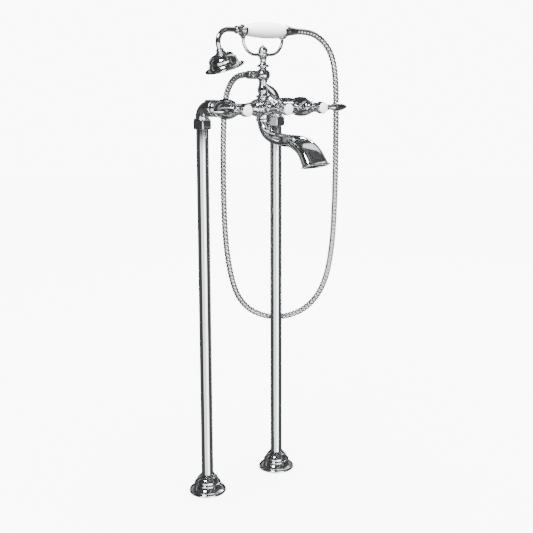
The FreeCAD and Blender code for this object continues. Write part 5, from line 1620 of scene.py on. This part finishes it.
@dataclass
class JetField:
    """Rings of small rubber jets, laid out round the middle of the spray plate."""

    rings: int
    pitch: float
    jets_in_ring: int = 6
    jet_sides: int = 14
    jet_r: float = 1.25
    tip_r: float = 0.8
    height: float = 0.7

    def mesh(self) -> bpy.types.Mesh:
        """Sets a tapered jet on each point of the rings.

        Returns:
            All the jets as one mesh, standing on the XY plane.
        """
        points = [(0.0, 0.0, 0.0)]
        for ring in range(1, self.rings + 1):
            reach, count = self.pitch * ring * MM, self.jets_in_ring * ring
            for angle in (2 * math.pi * k / count for k in range(count)):
                points.append((reach * math.cos(angle), reach * math.sin(angle), 0.0))
        base = bpy.data.meshes.new("jet_points")
        base.from_pydata(points, [], [])
        sizes = {"Jet radius": self.jet_r, "Tip radius": self.tip_r, "Jet height": self.height}
        tree = GeometryTree("spray_jets", {label: size * MM for label, size in sizes.items()})
        cone = tree.add("GeometryNodeMeshCone", {
            "Vertices": self.jet_sides,
            "Radius Bottom": tree.entry["Jet radius"],
            "Radius Top": tree.entry["Tip radius"],
            "Depth": tree.entry["Jet height"],
        }, fill_type="NGON")
        onto = tree.add("GeometryNodeInstanceOnPoints", {
            "Points": tree.entry["Geometry"], "Instance": cone.outputs["Mesh"],
        })
        return tree.grown(show("jet_points", base), onto.outputs["Instances"], JET_RUBBER)


@dataclass
class Hose:
    """The ribbed hose from the ball's outlet, round behind the risers, to the handset's nut."""

    length: float = 1.496
    diameter: float = 0.014
    groove: float = 0.0019
    ribs: int = 168
    rib_steps: int = 10
    round_power: float = 3.0
    sides: int = 28
    resolution: int = 24
    route: tuple[tuple[float, float, float], ...] = (
        (0.0, -0.0279, 0.9386), (0.0, 0.002, 0.9386), (0.0, 0.033, 0.923), (0.0, 0.053, 0.893),
        (0.0, 0.062, 0.850), (0.0, 0.0665, 0.770), (0.0, 0.067, 0.650), (0.003, 0.064, 0.545),
        (0.016, 0.060, 0.463), (0.038, 0.059, 0.412), (0.077, 0.053, 0.376),
        (0.122, 0.027, 0.362), (0.161, -0.010, 0.376), (0.183, -0.042, 0.410),
        (0.196, -0.067, 0.462), (0.204, -0.080, 0.545), (0.208, -0.0832, 0.670),
        (0.2085, -0.0834, 0.800), (0.208, -0.0836, 0.905), (0.200, -0.0836, 0.968),
        (0.178, -0.0836, 1.004), (0.145, -0.0836, 1.025), (0.114, -0.0836, 1.03054),
        (0.0913, -0.0836, 1.03054),
    )

    def _line(self) -> bpy.types.Object:
        """Draws the route as one smooth spline.

        Returns:
            The curve object.
        """
        curve = bpy.data.curves.new("hose_line", "CURVE")
        curve.dimensions = "3D"
        spline = curve.splines.new("NURBS")
        spline.points.add(len(self.route) - 1)
        for point, place in zip(spline.points, self.route):
            point.co = (*place, 1.0)
        spline.order_u = 3
        spline.use_endpoint_u = True
        curve.resolution_u = self.resolution
        return show("hose_line", curve)

    def build(self) -> None:
        """Grows the ribbed tube along the line."""
        line = self._line()
        thread = evaluated(line)
        bpy.data.meshes.remove(thread)
        tree = GeometryTree("hose_ribs", {
            "Rib count": float(self.ribs),
            "Steps in a rib": float(self.rib_steps),
            "Outer radius": self.diameter / 2,
            "Groove depth": self.groove,
            "Roundness": self.round_power,
        })
        entry = tree.entry
        rings = tree.sum("MULTIPLY", entry["Rib count"], entry["Steps in a rib"])
        resample = tree.add("GeometryNodeResampleCurve", {
            "Curve": entry["Geometry"], "Count": tree.sum("ADD", rings, 1.0),
        })
        along = tree.add("GeometryNodeSplineParameter").outputs["Factor"]
        turns = tree.sum("ADD", tree.sum("MULTIPLY", along, entry["Rib count"]), 1e-4)
        swing = tree.sum("SUBTRACT", tree.sum("MULTIPLY", tree.sum("FRACT", turns), 2.0), 1.0)
        hollow = tree.sum("POWER", tree.sum("ABSOLUTE", swing), entry["Roundness"])
        hollow = tree.sum("MULTIPLY", hollow, entry["Groove depth"])
        radius = tree.sum("SUBTRACT", entry["Outer radius"], hollow)
        curve = {"Curve": resample.outputs["Curve"], "Radius": radius}
        thick = tree.add("GeometryNodeSetCurveRadius", curve)
        circle = {"Resolution": self.sides, "Radius": 1.0}
        section = tree.add("GeometryNodeCurvePrimitiveCircle", circle)
        sweep = tree.add("GeometryNodeCurveToMesh", {
            "Curve": thick.outputs["Curve"],
            "Profile Curve": section.outputs["Curve"],
            "Fill Caps": True,
        })
        if "Scale" in sweep.inputs:
            tree.feed(sweep, {"Scale": radius})
        mesh = tree.grown(line, sweep.outputs["Mesh"], HOSE_CHROME)
        mesh.name = "ribbed_hose"
        item = show("ribbed_hose", mesh)
        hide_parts("hose")
        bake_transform(item)
        LOG.info("ribbed_hose: %d faces, %d ribs", len(mesh.polygons), self.ribs)


# ---------------------------------------------------------------- inner pieces and studio


@dataclass
class InnerPieces:
    """The CAD nodes that stay as they are, by the start of their names, and their finishes."""

    finishes: tuple[tuple[str, Finish], ...] = (
        ("floor_plate", ZINC_STEEL),
        ("grub_screws", BRASS),
        ("escutcheon_rings", RUBBER),
        ("riser_seals", RUBBER),
        ("spout_seal", RUBBER),
        ("sealing_washers", FIBRE),
        ("cartridge", BRASS),
        ("stem", BRASS),
        ("handle_screw", ZINC_STEEL),
        ("grip_tube", BRASS),
    )

    def dress(self) -> None:
        """Gives each of them its finish."""
        for name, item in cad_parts.items():
            for prefix, finish in self.finishes:
                if not name.startswith(prefix):
                    continue
                if not item.material_slots:
                    item.data.materials.append(finish.build())
                for slot in item.material_slots:
                    slot.material = finish.build()
                LOG.info("%s: dressed in %s", name, finish.name)


# Brightness by share of a turn from -X through -Y, +X and +Y. The white wall is behind the camera
# and to its right; the rest of the room is dark grey, with a few strips and one soft panel.
TURN_STOPS = {
    "walls": (
        (0.0, 0.006), (0.016, 0.006), (0.034, 0.18), (0.11, 0.24), (0.13, 0.15), (0.16, 0.16),
        (0.18, 0.52), (0.27, 0.52), (0.292, 0.02), (0.33, 0.007), (0.44, 0.009), (0.54, 0.014),
        (0.57, 0.002), (0.6, 0.002), (0.61, 0.16), (0.65, 0.16), (0.66, 0.002), (0.72, 0.002),
        (0.78, 0.008), (0.88, 0.012), (0.92, 0.006), (1.0, 0.006),
    ),
    "ceiling": (
        (0.0, 0.003), (0.14, 0.003), (0.15, 0.034), (0.175, 0.034), (0.185, 0.005),
        (0.31, 0.006), (0.32, 0.04), (0.335, 0.04), (0.345, 0.004), (0.5, 0.006), (0.51, 0.03),
        (0.56, 0.03), (0.57, 0.005), (0.58, 0.002), (0.72, 0.002), (0.74, 0.03), (0.77, 0.03),
        (0.78, 0.005), (0.84, 0.004), (0.85, 0.036), (0.87, 0.036), (0.88, 0.003), (1.0, 0.003),
    ),
    "upper": (
        (0.0, 0.003), (0.15, 0.003), (0.22, 0.005), (0.23, 0.032), (0.255, 0.032),
        (0.265, 0.006), (0.475, 0.008), (0.49, 0.17), (0.56, 0.17), (0.575, 0.006),
        (0.76, 0.005), (1.0, 0.003),
    ),
}
# The ground's brightness, where each part of the room gives way to the next, and the soft light,
# all by height from straight down to straight up.
HEIGHT_STOPS = {
    "ground": (
        (0.0, 0.04), (0.04, 0.04), (0.06, 0.008), (0.15, 0.008), (0.18, 0.018), (1.0, 0.014),
    ),
    "wall foot": ((0.0, 0.0), (0.205, 0.0), (0.245, 1.0), (1.0, 1.0)),
    "ceiling foot": ((0.0, 0.0), (0.473, 0.0), (0.489, 1.0), (1.0, 1.0)),
    "upper foot": ((0.0, 0.0), (0.79, 0.0), (0.82, 1.0), (1.0, 1.0)),
    "soft light": ((0.0, 0.02), (0.42, 0.05), (0.56, 0.50), (1.0, 1.35)),
}


@dataclass
class Studio:
    """A pale floor, soft light all round with dark panels for the chrome, and the camera."""

    camera_place: tuple[float, float, float] = (-1.1679, -1.6038, 0.9576)
    camera_turn: float = -38.7047
    camera_pitch: float = 10.0
    focal_pixels: float = 896.22
    sensor: float = 36.0
    shift: tuple[float, float] = (-0.0285, -0.08)
    clip_end: float = 100.0
    floor_r: float = 6.0
    floor_sides: int = 96
    floor_grey: float = 0.94
    backdrop: float = 10.0
    room: float = 10.0
    aim: tuple[float, float, float] = (0.0, 0.0, 0.6)

    def build(self) -> None:
        """Stands the camera where the photograph's was, and builds the floor and the light."""
        data = bpy.data.cameras.new("camera")
        data.sensor_width = self.sensor
        data.lens = self.sensor * self.focal_pixels / PHOTO_SIDE
        data.shift_x, data.shift_y = self.shift
        data.clip_end = self.clip_end
        camera = show("camera", data)
        camera.location = self.camera_place
        pitch, turned = math.radians(90 - self.camera_pitch), math.radians(self.camera_turn)
        camera.rotation_euler = (pitch, 0.0, turned)
        bpy.context.scene.camera = camera
        self._floor()
        self._world()
        self._panel("key_panel", (-1.9, -0.9, 2.6), 0.9, 60.0)
        self._panel("rim_panel", (1.9, 1.2, 2.0), 0.5, 30.0)

    def _floor(self) -> None:
        """Lays the pale floor, which neither shows in the chrome nor lights pieces from below."""
        reach, sides = self.floor_r, self.floor_sides
        angles = [2 * math.pi * k / sides for k in range(sides)]
        rim = [(reach * math.cos(angle), reach * math.sin(angle), 0.0) for angle in angles]
        mesh = bpy.data.meshes.new("studio_floor")
        mesh.from_pydata(rim, [], [tuple(range(sides))])
        material = bpy.data.materials.new("studio_floor")
        material.use_nodes = True
        Wiring(material.node_tree).feed(material.node_tree.nodes["Principled BSDF"], {
            "Base Color": (self.floor_grey, self.floor_grey, self.floor_grey, 1.0),
            "Roughness": 1.0,
            "Specular IOR Level": 0.0,
        })
        mesh.materials.append(material)
        item = show("studio_floor", mesh)
        item.visible_glossy = False
        item.visible_diffuse = False

    def _world(self) -> None:
        """Gives the camera a white backdrop, the pale pieces soft light and the chrome a dark room.

        The room's bright walls and its few panels are what the chrome shows.
        """
        world = bpy.data.worlds.new("studio")
        bpy.context.scene.world = world
        world.use_nodes = True
        world.node_tree.nodes.clear()
        tree = Wiring(world.node_tree)
        place = tree.add("ShaderNodeTexCoord").outputs["Generated"]
        parts = tree.add("ShaderNodeSeparateXYZ", {"Vector": place}).outputs
        heading = tree.sum("ARCTAN2", parts["Y"], parts["X"])
        round_share = tree.ranged(heading, (-math.pi, math.pi), (0.0, 1.0))
        height = tree.ranged(parts["Z"], (-1.0, 1.0), (0.0, 1.0))
        ramps = {name: self._ramp(tree, round_share, stops) for name, stops in TURN_STOPS.items()}
        gates = {name: self._ramp(tree, height, stops) for name, stops in HEIGHT_STOPS.items()}
        low = tree.mixed(gates["wall foot"], gates["ground"], ramps["walls"])
        high = tree.mixed(gates["upper foot"], ramps["ceiling"], ramps["upper"])
        colour = tree.mixed(gates["ceiling foot"], low, high)
        ray = tree.add("ShaderNodeLightPath").outputs
        soft = self._background(tree, gates["soft light"], self.backdrop)
        room = self._background(tree, colour, self.room)
        white = self._background(tree, (1.0, 1.0, 1.0, 1.0), self.backdrop)
        lit = self._choose(tree, ray["Is Glossy Ray"], soft, room)
        seen = self._choose(tree, ray["Is Camera Ray"], lit, white)
        tree.add("ShaderNodeOutputWorld", {"Surface": seen})

    @staticmethod
    def _background(tree: Wiring, colour: object, strength: float) -> Socket:
        """A background of a colour."""
        inputs = {"Color": colour, "Strength": strength}
        return tree.add("ShaderNodeBackground", inputs).outputs["Background"]

    @staticmethod
    def _choose(tree: Wiring, share: Socket, one: Socket, other: Socket) -> Socket:
        """The second of two backgrounds for the rays the share picks out, else the first."""
        return tree.add("ShaderNodeMixShader", {"Fac": share, 1: one, 2: other}).outputs["Shader"]

    @staticmethod
    def _ramp(tree: Wiring, share: Socket, stops: Sequence[tuple[float, float]]) -> Socket:
        """Makes a ramp of greys with a cool cast in its darks.

        Args:
            tree: The world's tree.
            share: What the ramp reads.
            stops: Pairs of place and brightness.

        Returns:
            The colour.
        """
        ramp = tree.add("ShaderNodeValToRGB", {"Fac": share})
        elements = ramp.color_ramp.elements
        while len(elements) > 1:
            elements.remove(elements[-1])
        for index, (place, bright) in enumerate(stops):
            stop = elements[0] if index == 0 else elements.new(place)
            stop.position = place
            stop.color = (bright, bright * (1.0 + 0.04 * (1.0 - bright)), bright * 1.04, 1.0)
        return ramp.outputs["Color"]

    def _panel(self, name: str, place: tuple[float, float, float], size: float,
               power: float) -> None:
        """Hangs one square light, turned to the middle of the object.

        Args:
            name: The light's name.
            place: Where it hangs, in metres.
            size: Its side, in metres.
            power: Its power, in watts.
        """
        data = bpy.data.lights.new(name, "AREA")
        data.size = size
        data.energy = power
        item = show(name, data)
        item.location = place
        aim = Vector(self.aim) - Vector(place)
        item.rotation_euler = aim.to_track_quat("-Z", "Y").to_euler()


def main() -> None:
    """Builds every sub-assembly in order."""
    logging.basicConfig(level=logging.INFO, format="%(message)s")
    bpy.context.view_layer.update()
    Studio().build()
    Hose().build()
    for side in Side:
        FloorEnd(side).build()
        RiserHead(side).build()
    MixerBody().build()
    for kind in ValveKind:
        Valve(kind).build()
    for assembly in Spout(), Column(), Cradle(), Handset():
        assembly.build()
    InnerPieces().dress()


if __name__ == "__main__":
    main()
